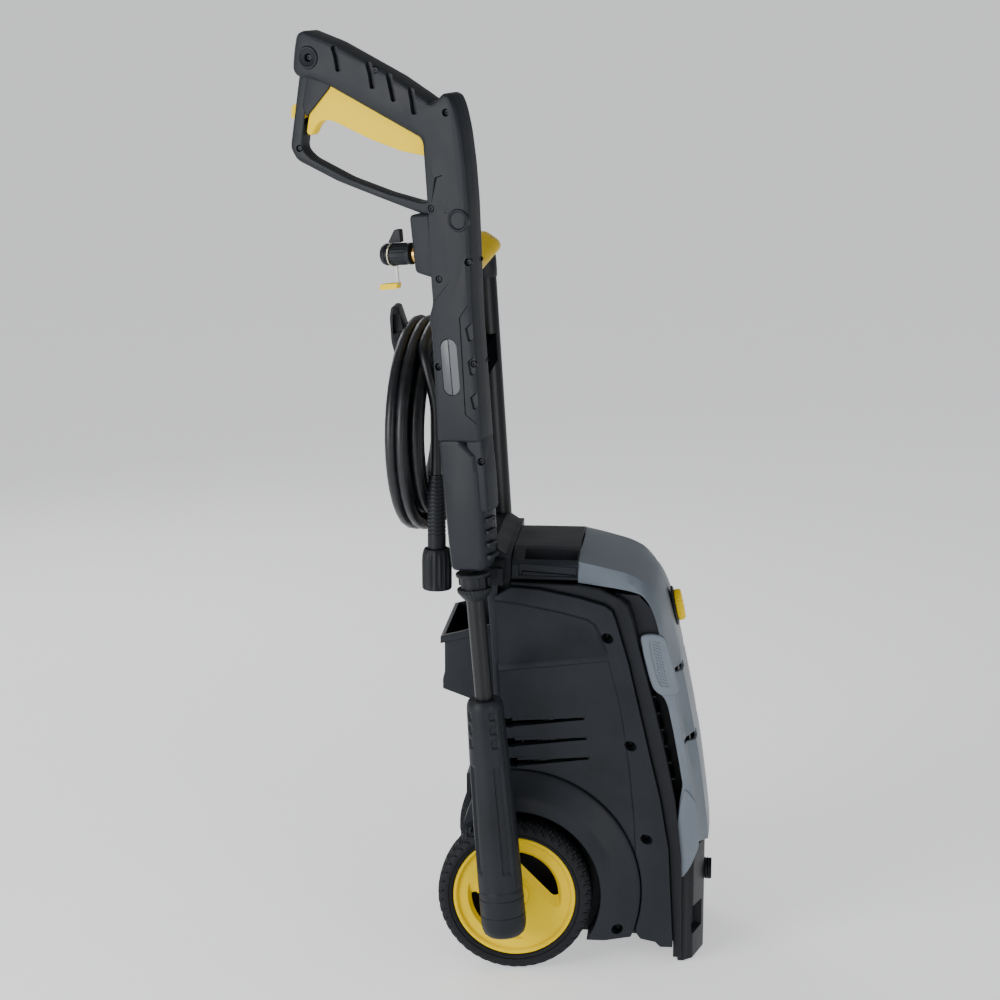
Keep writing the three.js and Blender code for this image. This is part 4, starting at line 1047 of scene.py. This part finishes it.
INLET = [(-6, 716), (-26, 716), (-28, 713), (-27, 664), (-25, 661), (-6, 655)]
TRIGGER_ROOM = [(10, 797), (-10, 812), (-98, 868), (-124, 868), (-137, 812), (-136, 796), (-128, 793),
                (-118, 800), (-104, 800), (-35, 768), (-12, 760), (6, 764), (12, 786)]
# Glass-filled nylon: black, a little rougher than the body because the fibres lie at the skin.
gun_nylon = moulded("gun_glass_filled_nylon", "#16191d", "#20242a", 0.48, 0.8, 0.16)


def gun_slab(corners, low, high, edge, curve, sign):
    """One half's slab: from the parting plane out to the face, with its outer rim rounded."""
    points, faces = outline_solid(corners, low, high, edge, None, curve, closed_low=False)
    return on_gun(points * (1, 1, sign)), faces


def gun_prism(low_corners, low, high_corners, high, sign):
    """A tapering block on the gun, its outline changing between two heights from the middle."""
    points, faces = loft([np.column_stack([np.asarray(c, float), np.full(len(c), h)])
                          for c, h in ((low_corners, low), (high_corners, high))])
    return on_gun(points * (1, 1, sign)), faces


def gun_disc(x, y, profile, sign, sides=40):
    """A profile of (radius, height) turned about a line straight out of the gun's side."""
    points, faces = turned(profile, sides)
    return on_gun(np.column_stack([points[:, 0] + x, points[:, 1] + y, sign * points[:, 2]])), faces


def window_outline(radius, half):
    """The window's outline: two half circles of the radius, half above and half below its middle."""
    angle = np.linspace(0, 2 * math.pi, 41)[:-1]
    return [(2.6 + radius * math.cos(a), 572 + (half if math.sin(a) >= 0 else -half) + radius * math.sin(a))
            for a in angle]


def ribbon(line, width):
    """A thin strip's outline round a polyline, half the width to each side."""
    line = np.asarray(line, float)
    way = np.gradient(line, axis=0)
    way /= np.linalg.norm(way, axis=1, keepdims=True)
    over = np.column_stack([-way[:, 1], way[:, 0]]) * width / 2
    return np.concatenate([line + over, (line - over)[::-1]])


# Height of the casing's flat face over the parting plane, and the middles of its screw wells.
FACE = 15.5
WELLS = [(21, 808), (-4, 721), (30.6, 670), (-2, 655), (-10, 572.5), (26.6, 574.5)]
for name, side in SIDES:
    sign = -side  # on_gun counts z out to the machine's right
    case = piece(name + "_gun_grip", [gun_slab(CASE, 0.15, FACE, 4.8, 6, sign)], "gun",
                 gun_nylon, 28, [name + "_gun_shell"])
    carve(case, [gun_slab(GRIP, 0.15, FACE - 0.1, 5.0, 4, sign)], 28, "UNION")
    tools = [gun_prism(TRIGGER_ROOM, -1, TRIGGER_ROOM, 7.5, sign)]
    # Beside a straight strip along the spine the face falls away to the trigger. Below that, one
    # sunk field ends in a slanting step, three pockets bite into the spine's edge, and a groove
    # marks out the fore part.
    tilt_low = [(27.5, 815, FACE + 0.3), (19, 716, FACE + 0.3), (-12, 716, FACE - 4), (-12, 786, FACE + 0.3)]
    tools.append((on_gun(np.array([*tilt_low, *[(x, y, FACE + 4) for x, y, _ in tilt_low]]) * (1, 1, sign)),
                  grid_faces(2, 4, closed_columns=True) + [[3, 2, 1, 0], [4, 5, 6, 7]]))
    fields = [
        [(-30, 716), (-8, 714), (4, 750), (12, 752), (8.4, 667), (10.2, 652), (-6.4, 635), (-30, 628)],
        [(21.5, 608.6), (41.5, 625.6), (40, 610), (27, 595.6), (23.5, 596)],
        [(21, 577), (39, 592), (38, 577), (26, 563.6), (22.5, 564)],
        [(20.5, 543), (37, 558), (36, 543), (25.4, 531), (22.6, 531.5)]]
    for field in fields:
        tools.append(gun_prism(inset(np.array(field, float), 1.2), FACE - 2.2, field, FACE + 0.6, sign))
    edging = [(40, 646), (30, 634), (17.3, 618.5), (16, 572), (14.6, 527), (24, 519), (36, 511)]
    tools.append(gun_prism(ribbon(edging, 0.9), FACE - 1.0, ribbon(edging, 1.7), FACE + 0.6, sign))
    for x, y in WELLS:
        tools.append(gun_disc(x, y, [(0, FACE - 4.4), (3.3, FACE - 4.4), (3.8, FACE + 1), (0, FACE + 1)],
                              sign))
    for line in ([(-90, 876), (-87.5, 866), (-86.5, 852)], [(-55.5, 860), (-53, 849), (-52, 834)],
                 [(-35.5, 850), (-33, 837), (-31, 821)], [(-14, 837), (-12, 824), (-11, 808)]):
        tools.append(gun_prism(soften(ribbon(line, 4.2), 1.6), FACE - 4.5, soften(ribbon(line, 6.6), 2.4),
                               FACE + 1, sign))
    for x, y, radius in ((-49, 851, 3.8), (-118, 867, 11)):
        tools.append(gun_disc(x, y, [(0, FACE - 5.5), (radius - 0.4, FACE - 5.5), (radius, FACE + 1),
                                     (0, FACE + 1)], sign))
    window = window_outline(8.8, 18.5)
    tools.append(gun_prism(window, FACE - 2, window, FACE + 1, sign))
    # The water pipe runs up the middle of the casing.
    pipe = [(5.4 * math.cos(a), 5.4 * math.sin(a)) for a in np.linspace(0, 6.283, 25)[:-1]]
    pipe_points, pipe_faces = loft([[(x, y, z) for x, z in pipe] for y in (470, 660)])
    tools.append((on_gun(pipe_points), pipe_faces))
    carve(case, tools, 28)
    low = FACE - 5.5
    head = [(0, low), (3, low), (3, low + 1.9), (2.4, low + 2.5), (1.1, low + 2.6), (0.9, low + 1.6),
            (0, low + 1.5)]
    for k, (x, y) in enumerate(WELLS + [(-49, 851), (-118, 867)]):
        piece(f"{name}_case_screw_{k + 1}", [gun_disc(x, y, head, sign, 24)], "gun", zinc, 35)
    boss = [(3.6, FACE - 5), (10.6, FACE - 5), (10.6, FACE + 0.6), (9.9, FACE + 1.5), (8.8, FACE + 1.4),
            (7.6, FACE + 0.4), (4.8, FACE - 0.1), (3.9, FACE - 0.6)]
    boss_points, boss_faces = ring_of(boss, 64)
    boss_points = np.column_stack([boss_points[:, 0] - 118, boss_points[:, 1] + 867,
                                   sign * boss_points[:, 2]])
    piece(name + "_grip_boss", [(on_gun(boss_points), boss_faces)], "gun", gun_nylon, 30)
    guard = piece(name + "_gun_guard", [gun_slab(GUARD, 0.15, 8, 2.2, 5, sign)], "gun",
                  gun_nylon, 30)
    web = piece(name + "_guard_web", [gun_slab(WEB, 0.15, 9, 1.0, 2, sign)], "gun",
                gun_nylon, 30)
    carve(web, [gun_prism(TRIGGER_ROOM, -1, TRIGGER_ROOM, 7.5, sign)], 30)
    lock_room = [(-146, 805), (-128, 805), (-128, 830), (-146, 830)]
    carve(guard, [gun_prism(TRIGGER_ROOM, -1, TRIGGER_ROOM, 7.5, sign),
                  gun_prism(lock_room, -1, lock_room, 3.6, sign),
                  gun_disc(-141, 783, [(0, 5), (3.2, 5), (3.5, 9), (0, 9)], sign)], 30)
    guard_head = [(0, 4.6), (2.8, 4.6), (2.8, 6.2), (2.2, 6.8), (0, 6.9)]
    piece(name + "_guard_screw", [gun_disc(-141, 783, guard_head, sign, 24)], "gun", zinc, 35)
    piece(name + "_inlet_block", [gun_slab(INLET, 0.15, 13, 3.0, 3, sign)], "gun",
          gun_nylon, 30)
# A round button with a raised rim, on the right half only.
button_profile = [(0, 12), (10.8, 12), (10.8, FACE + 0.3), (10, FACE + 1.3), (9, FACE + 1.1),
                  (8, FACE + 0.2), (5, FACE - 0.6), (0, FACE - 0.9)]
piece("case_button", [gun_disc(24.4, 709, button_profile, 1, 64)], "gun", gun_nylon, 30)

# The window is a thin grey inlay let into the casing, sunk on its spine half. Its nylon is smooth
# and a little glossier than the casing.
window_grey = moulded("window_grey_nylon", "#33373c", "#43484e", 0.3, 0.8, 0.04, 0.5)
window_shape = window_outline(8.4, 18.2)
inlay = outline_solid(window_shape, FACE - 2, FACE + 0.5, 0.8, on_gun, 0.3)
window_piece = piece("gun_window_inlay", [inlay], "gun", window_grey, 30, ["gun_window"])
spine_half = [(2.7, 540), (12, 540), (12, 604), (2.7, 604)]
carve(window_piece, [gun_prism(spine_half, FACE - 0.5, spine_half, FACE + 2, 1)], 30)

# ==== Trigger and lock =================================================================
# The trigger is one yellow ABS lever on a steel pin; it squeezes up into the grip. A small yellow
# lock at the far end of the guard swings over to block it.
TRIGGER = [(-100, 851), (-12, 800), (2, 796), (8, 788), (4, 778), (-5, 768), (-33, 774.5), (-62, 786),
           (-90, 800), (-104, 807), (-114, 808), (-121, 803), (-126.5, 794), (-133, 796), (-127.5, 816),
           (-104, 839)]
trigger = piece("trigger_lever", [outline_solid(TRIGGER, -7, 7, 2.4, on_gun, 4)], "trigger",
                yellow_abs, 30, ["trigger"])
pin_hole, pin_faces = turned([(0, -16), (2.3, -16), (2.3, 16), (0, 16)], 32)
carve(trigger, [(on_gun(pin_hole + (0, 787, 0)), pin_faces)], 30)
pin_profile = [(0, -14.4), (1.9, -14.4), (2.0, -14.2), (2.0, 14.2), (1.9, 14.4), (0, 14.4)]
piece("trigger_pin_ground", [gun_disc(0, 787, pin_profile, 1, 32)], "gun", zinc, 35,
      ["trigger_pin"])
LOCK = [(-150, 812), (-148, 823), (-141, 826), (-134, 822), (-133.5, 812), (-141, 809)]
piece("trigger_lock_tab", [outline_solid(LOCK, -3, 3, 0.8, on_gun, 1.5)], "trigger_lock",
      yellow_abs, 30, ["trigger_lock"])

# ==== Inlet, coupler and valve =========================================================
# A brass stub stands out of the gun's inlet block; on it sits the black quick coupler with its
# lifting lever, a wire clip, and a yellow tag on a strap.


def gun_lathe(profile, axis, foot, sides=48, bump=None, hollow=False):
    """A profile of (radius, distance) turned about a line in the gun's frame, from its foot."""
    points, faces = (ring_of if hollow else turned)(profile, sides, bump)
    if axis == "x":
        points = np.column_stack([points[:, 2], points[:, 0], -points[:, 1]])
    else:
        points = np.column_stack([points[:, 0], points[:, 2], -points[:, 1]])
    return on_gun(points + np.array(foot, float)), faces


stub_profile = [(3, -33.6), (5.7, -33.6), (5.9, -33.2), (5.9, -31.4), (8.2, -31.3), (8.5, -30.8),
                (8.5, -28.8), (8.2, -28.3), (6.1, -28.3), (6.1, -10), (3, -10)]
piece("inlet_stub_turned", [gun_lathe(stub_profile, "x", (0, 678, 0), 64, None, True)], "gun",
      turned_brass, 30, ["inlet_stub"])
coupler_profile = [(4.8, -64.6), (6, -65), (8.4, -65), (9.2, -64.4), (9.8, -63.2), (10.4, -62), (10.5, -60),
                   (9.7, -59.4), (9.7, -57.6), (10.5, -57), (10.5, -40), (10.1, -39.2), (9.9, -38),
                   (10.3, -37), (10.5, -36), (10.3, -34.2), (9.6, -33.9), (3.2, -33.9), (3.2, -48),
                   (4.8, -48)]
coupler_ribs = ribbed(20, 0.5, 10, 11)
piece("coupler_body", [gun_lathe(coupler_profile, "x", (0, 678.5, 0), 120, coupler_ribs, True)], "gun",
      black_nylon, 35, ["inlet_coupler"])
LEVER = [(-58, 689.5), (-50, 702), (-44, 702), (-44, 689.5)]
piece("coupler_lever_arm", [outline_solid(LEVER, -3.5, 3.5, 0.8, on_gun, 1.5)], "coupler_lever",
      black_nylon, 30, ["coupler_lever"])
clip_line = np.array([(-52.2, 689.2, 4.2), (-54.5, 686.0, 10.6), (-56.0, 678.5, 11.4), (-55.5, 671.0, 10.2),
                      (-53.0, 667.6, 4.0), (-53.0, 667.4, -4.0), (-55.5, 671.0, -10.2),
                      (-56.0, 678.5, -11.4)])
t_fine = np.linspace(0, len(clip_line) - 1, 60)
clip_line = np.stack([np.interp(t_fine, np.arange(len(clip_line)), c) for c in clip_line.T], 1)
for _ in range(6):
    clip_line[1:-1] = (clip_line[:-2] + 2 * clip_line[1:-1] + clip_line[2:]) / 4
# Bright drawn wire, slightly yellowed, and unpigmented nylon: milky white and smooth.
wire_steel = cast_metal("sprung_steel_wire", "#a89f86", "#d8d0ba", 0.3)
piece("coupler_wire_clip", [tube(on_gun(clip_line), 0.7, gun_side, 10)], "gun", wire_steel, 40)
clear_nylon = moulded("clear_white_nylon", "#b9bab8", "#cfd0cd", 0.35, 0.8, 0.04)
STRAP = [(-54.4, 668.0), (-51.2, 668.0), (-51.2, 649), (-54, 649)]
piece("coupler_tag_strap", [outline_solid(STRAP, -1.2, 1.2, 0.5, on_gun, 0.5)], "gun",
      clear_nylon, 30)
FLAG = [(-71, 645), (-52, 646), (-51, 651.7), (-70, 650.5)]
piece("coupler_tag_flag", [outline_solid(FLAG, -4.5, 4.5, 0.8, on_gun, 1.2)], "gun",
      yellow_abs, 30, ["coupler_tag"])
dress(turned_brass, "gun_valve")
dress(zinc, "gun_pipe", "axle", "motor_rotor", "swash_plate")

# ==== Sleeve, collar and lance =========================================================
# Below the casing a black nylon sleeve covers the pipe; the bayonet collar under it has ribs for
# the fingers, and the lance is a coated steel tube down to the nozzle.
SLEEVE = [(-18.6, 504), (5, 504), (22.4, 487), (23, 470), (22.8, 434), (20.6, 386), (17, 373.6),
          (-17, 373.6), (-18, 400)]
sleeve = piece("forearm_sleeve_moulded", [outline_solid(SLEEVE, -15.2, 15.2, 6.5, on_gun, 6)], "gun",
               gun_nylon, 30, ["forearm_sleeve"])
# The casing's tongue runs down over the sleeve's spine and is screwed to it.
TONGUE = [(10, 506), (27.6, 506), (28.8, 470), (28, 436), (26.6, 431.5), (14, 431.5)]
tongue = piece("casing_tongue", [outline_solid(TONGUE, -13, 13, 3.0, on_gun, 2)], "gun",
               gun_nylon, 30)
carve(tongue, [gun_disc(25, 481, [(0, 8.5), (3.3, 8.5), (3.8, 14), (0, 14)], 1)], 30)
tongue_head = [(0, 8), (3, 8), (3, 10), (2.4, 10.6), (1.1, 10.7), (0.9, 9.7), (0, 9.6)]
piece("tongue_screw", [gun_disc(25, 481, tongue_head, 1, 24)], "gun", zinc, 35)
COMB_PITCH = 12
comb = []
for top in 425 - COMB_PITCH * np.arange(4):
    tooth = [(18, top), (25.4, top), (24.6, top - 4), (18, top - 4)]
    comb.append(outline_solid(tooth, -9, 9, 0.5, on_gun, 0.8))
piece("sleeve_comb", comb, "gun", gun_nylon, 30)
pipe_bore = gun_lathe([(0, 360), (5.4, 360), (5.4, 520), (0, 520)], "y", (0, 0, 0), 24)
carve(sleeve, [pipe_bore], 30)
collar_profile = [(0, 343), (10.2, 343), (10.9, 344), (13.2, 346.5), (15.6, 350), (16.7, 351.4),
                  (17, 352.4), (17, 354.4), (16.5, 355), (13, 355), (13, 367), (16.5, 367), (17, 367.6),
                  (17, 369.8), (16.4, 370.5), (0, 370.6)]
piece("bayonet_collar_ribbed", [gun_lathe(collar_profile, "y", (0, 0, 0), 144, ribbed(24, 0.7, 5, 7, 2))],
      "gun", black_nylon, 30, ["bayonet_collar"])
lugs = []
for k in range(2):
    angle = math.pi * k + 0.5
    lug = np.array([(-3, 355), (3, 355), (3, 367), (-3, 367)], float)
    sections = []
    for reach in (12.4, 14.3):
        sections.append(np.column_stack([
            reach * math.cos(angle) - lug[:, 0] * math.sin(angle), lug[:, 1],
            reach * math.sin(angle) + lug[:, 0] * math.cos(angle)]))
    points, faces = loft(sections)
    lugs.append((on_gun(points), faces))
piece("collar_lugs", lugs, "gun", black_nylon, 30)
lance_profile = [(0, 243.4), (8.8, 243.4), (8.8, 342.6), (0, 342.6)]
piece("lance_tube_round", [gun_lathe(lance_profile, "y", (0, 0, 0), 64)], "gun", powder_coat,
      30, ["lance_tube"])

# ==== Nozzle ===========================================================================
# Two black nylon mouldings: a long flared barrel with finger grooves down its sides, and a ring
# with two fine grooves round it, which turns to change the jet.
barrel_y = np.linspace(50, 243, 150)
barrel_r = np.interp(barrel_y, [50, 110, 175, 236, 240, 243], [22.0, 21.4, 19.9, 17.9, 17.2, 15.6])
barrel_profile = [(0, 50), (21.4, 50), *zip(barrel_r, barrel_y), (0, 243)]


def barrel_relief(angle, t):
    """Four grooves 9 mm wide run along the barrel, with three short steps in line above each, and a
    fine parting line runs down one side. Each is an S-shaped step of the distance from its middle
    line, times S-shaped steps that round its ends."""
    y = 50 + (t - 2) * 193 / 149
    depth = 0.0
    for centre in (-0.72, 0.95, 2.42, 4.09):
        off = np.abs((angle - centre + np.pi) % (2 * np.pi) - np.pi) * 20
        across = smooth((5.2 - off) / 1.6)
        depth = depth + 2.3 * across * smooth((y - 66) / 6) * smooth((181 - y) / 6)
        for low, high in ((196, 207), (210, 221), (224, 234)):
            ends = smooth((y - low) / 2.5) * smooth((high - y) / 2.5)
            depth = depth + 1.7 * smooth((4.4 - off) / 1.2) * ends
    seam = np.abs((angle + 0.28 + np.pi) % (2 * np.pi) - np.pi) * 20
    depth = depth + 0.9 * smooth((0.8 - seam) / 0.5) * smooth((y - 52) / 3) * smooth((236 - y) / 3)
    return -depth * ((t > 1) & (t < 152))


piece("nozzle_barrel", [gun_lathe(barrel_profile, "y", (0, 0, 0), 240, barrel_relief)], "gun",
      gun_nylon, 32, ["nozzle_body"])
ring_profile = [(0, 19.5), (1.9, 19.5), (2.2, 8.2), (5.6, 7.6), (9.6, 0.8), (10.6, 0), (14, 0), (17, 1.2),
                (20, 4), (21.4, 8), (21.6, 8.7), (21.7, 9.4), (22.2, 12), (22.4, 16), (22.35, 22.8),
                (21.9, 23.4), (22.3, 24.2), (22.1, 40.2), (21.6, 40.9), (22, 41.7), (21.8, 48),
                (21.2, 49.6), (0, 49.6)]
piece("nozzle_turning_ring", [gun_lathe(ring_profile, "y", (0, 0, 0), 144)], "nozzle",
      gun_nylon, 30, ["nozzle_ring"])
dress(black_nylon, "lance_holder")

# ==== Motor, pump and cable gland ======================================================
# Inside, seen only through the vents: a wound motor in a cast can, its swash plate, the three
# piston pump below it, and the gland where the mains lead would come in at the back.
# Cast aluminium: pale grey, dull, with a coarse mottle from the mould.
cast_aluminium = cast_metal("cast_aluminium", "#8b8e91", "#b4b7ba", 0.5, 4.0, 0.3)
dress(cast_aluminium, "motor_can", "pump", "capacitor")
gland_profile = [(2.6, -36), (5.2, -36), (5.5, -35.4), *[(5.7 + 0.1 * k - 0.5 * (k % 2), -35 + k)
                                                         for k in range(12)], (8.3, -22.4), (8.5, -22),
                 (8.5, -20.2), (8.2, -19.8), (6, -19.8), (6, -12), (2.6, -12)]
points, faces = ring_of(gland_profile, 48)
piece("mains_gland_ribbed", [(along_x(points, 55, 232), faces)], "washer", black_nylon, 40,
      ["mains_gland"])
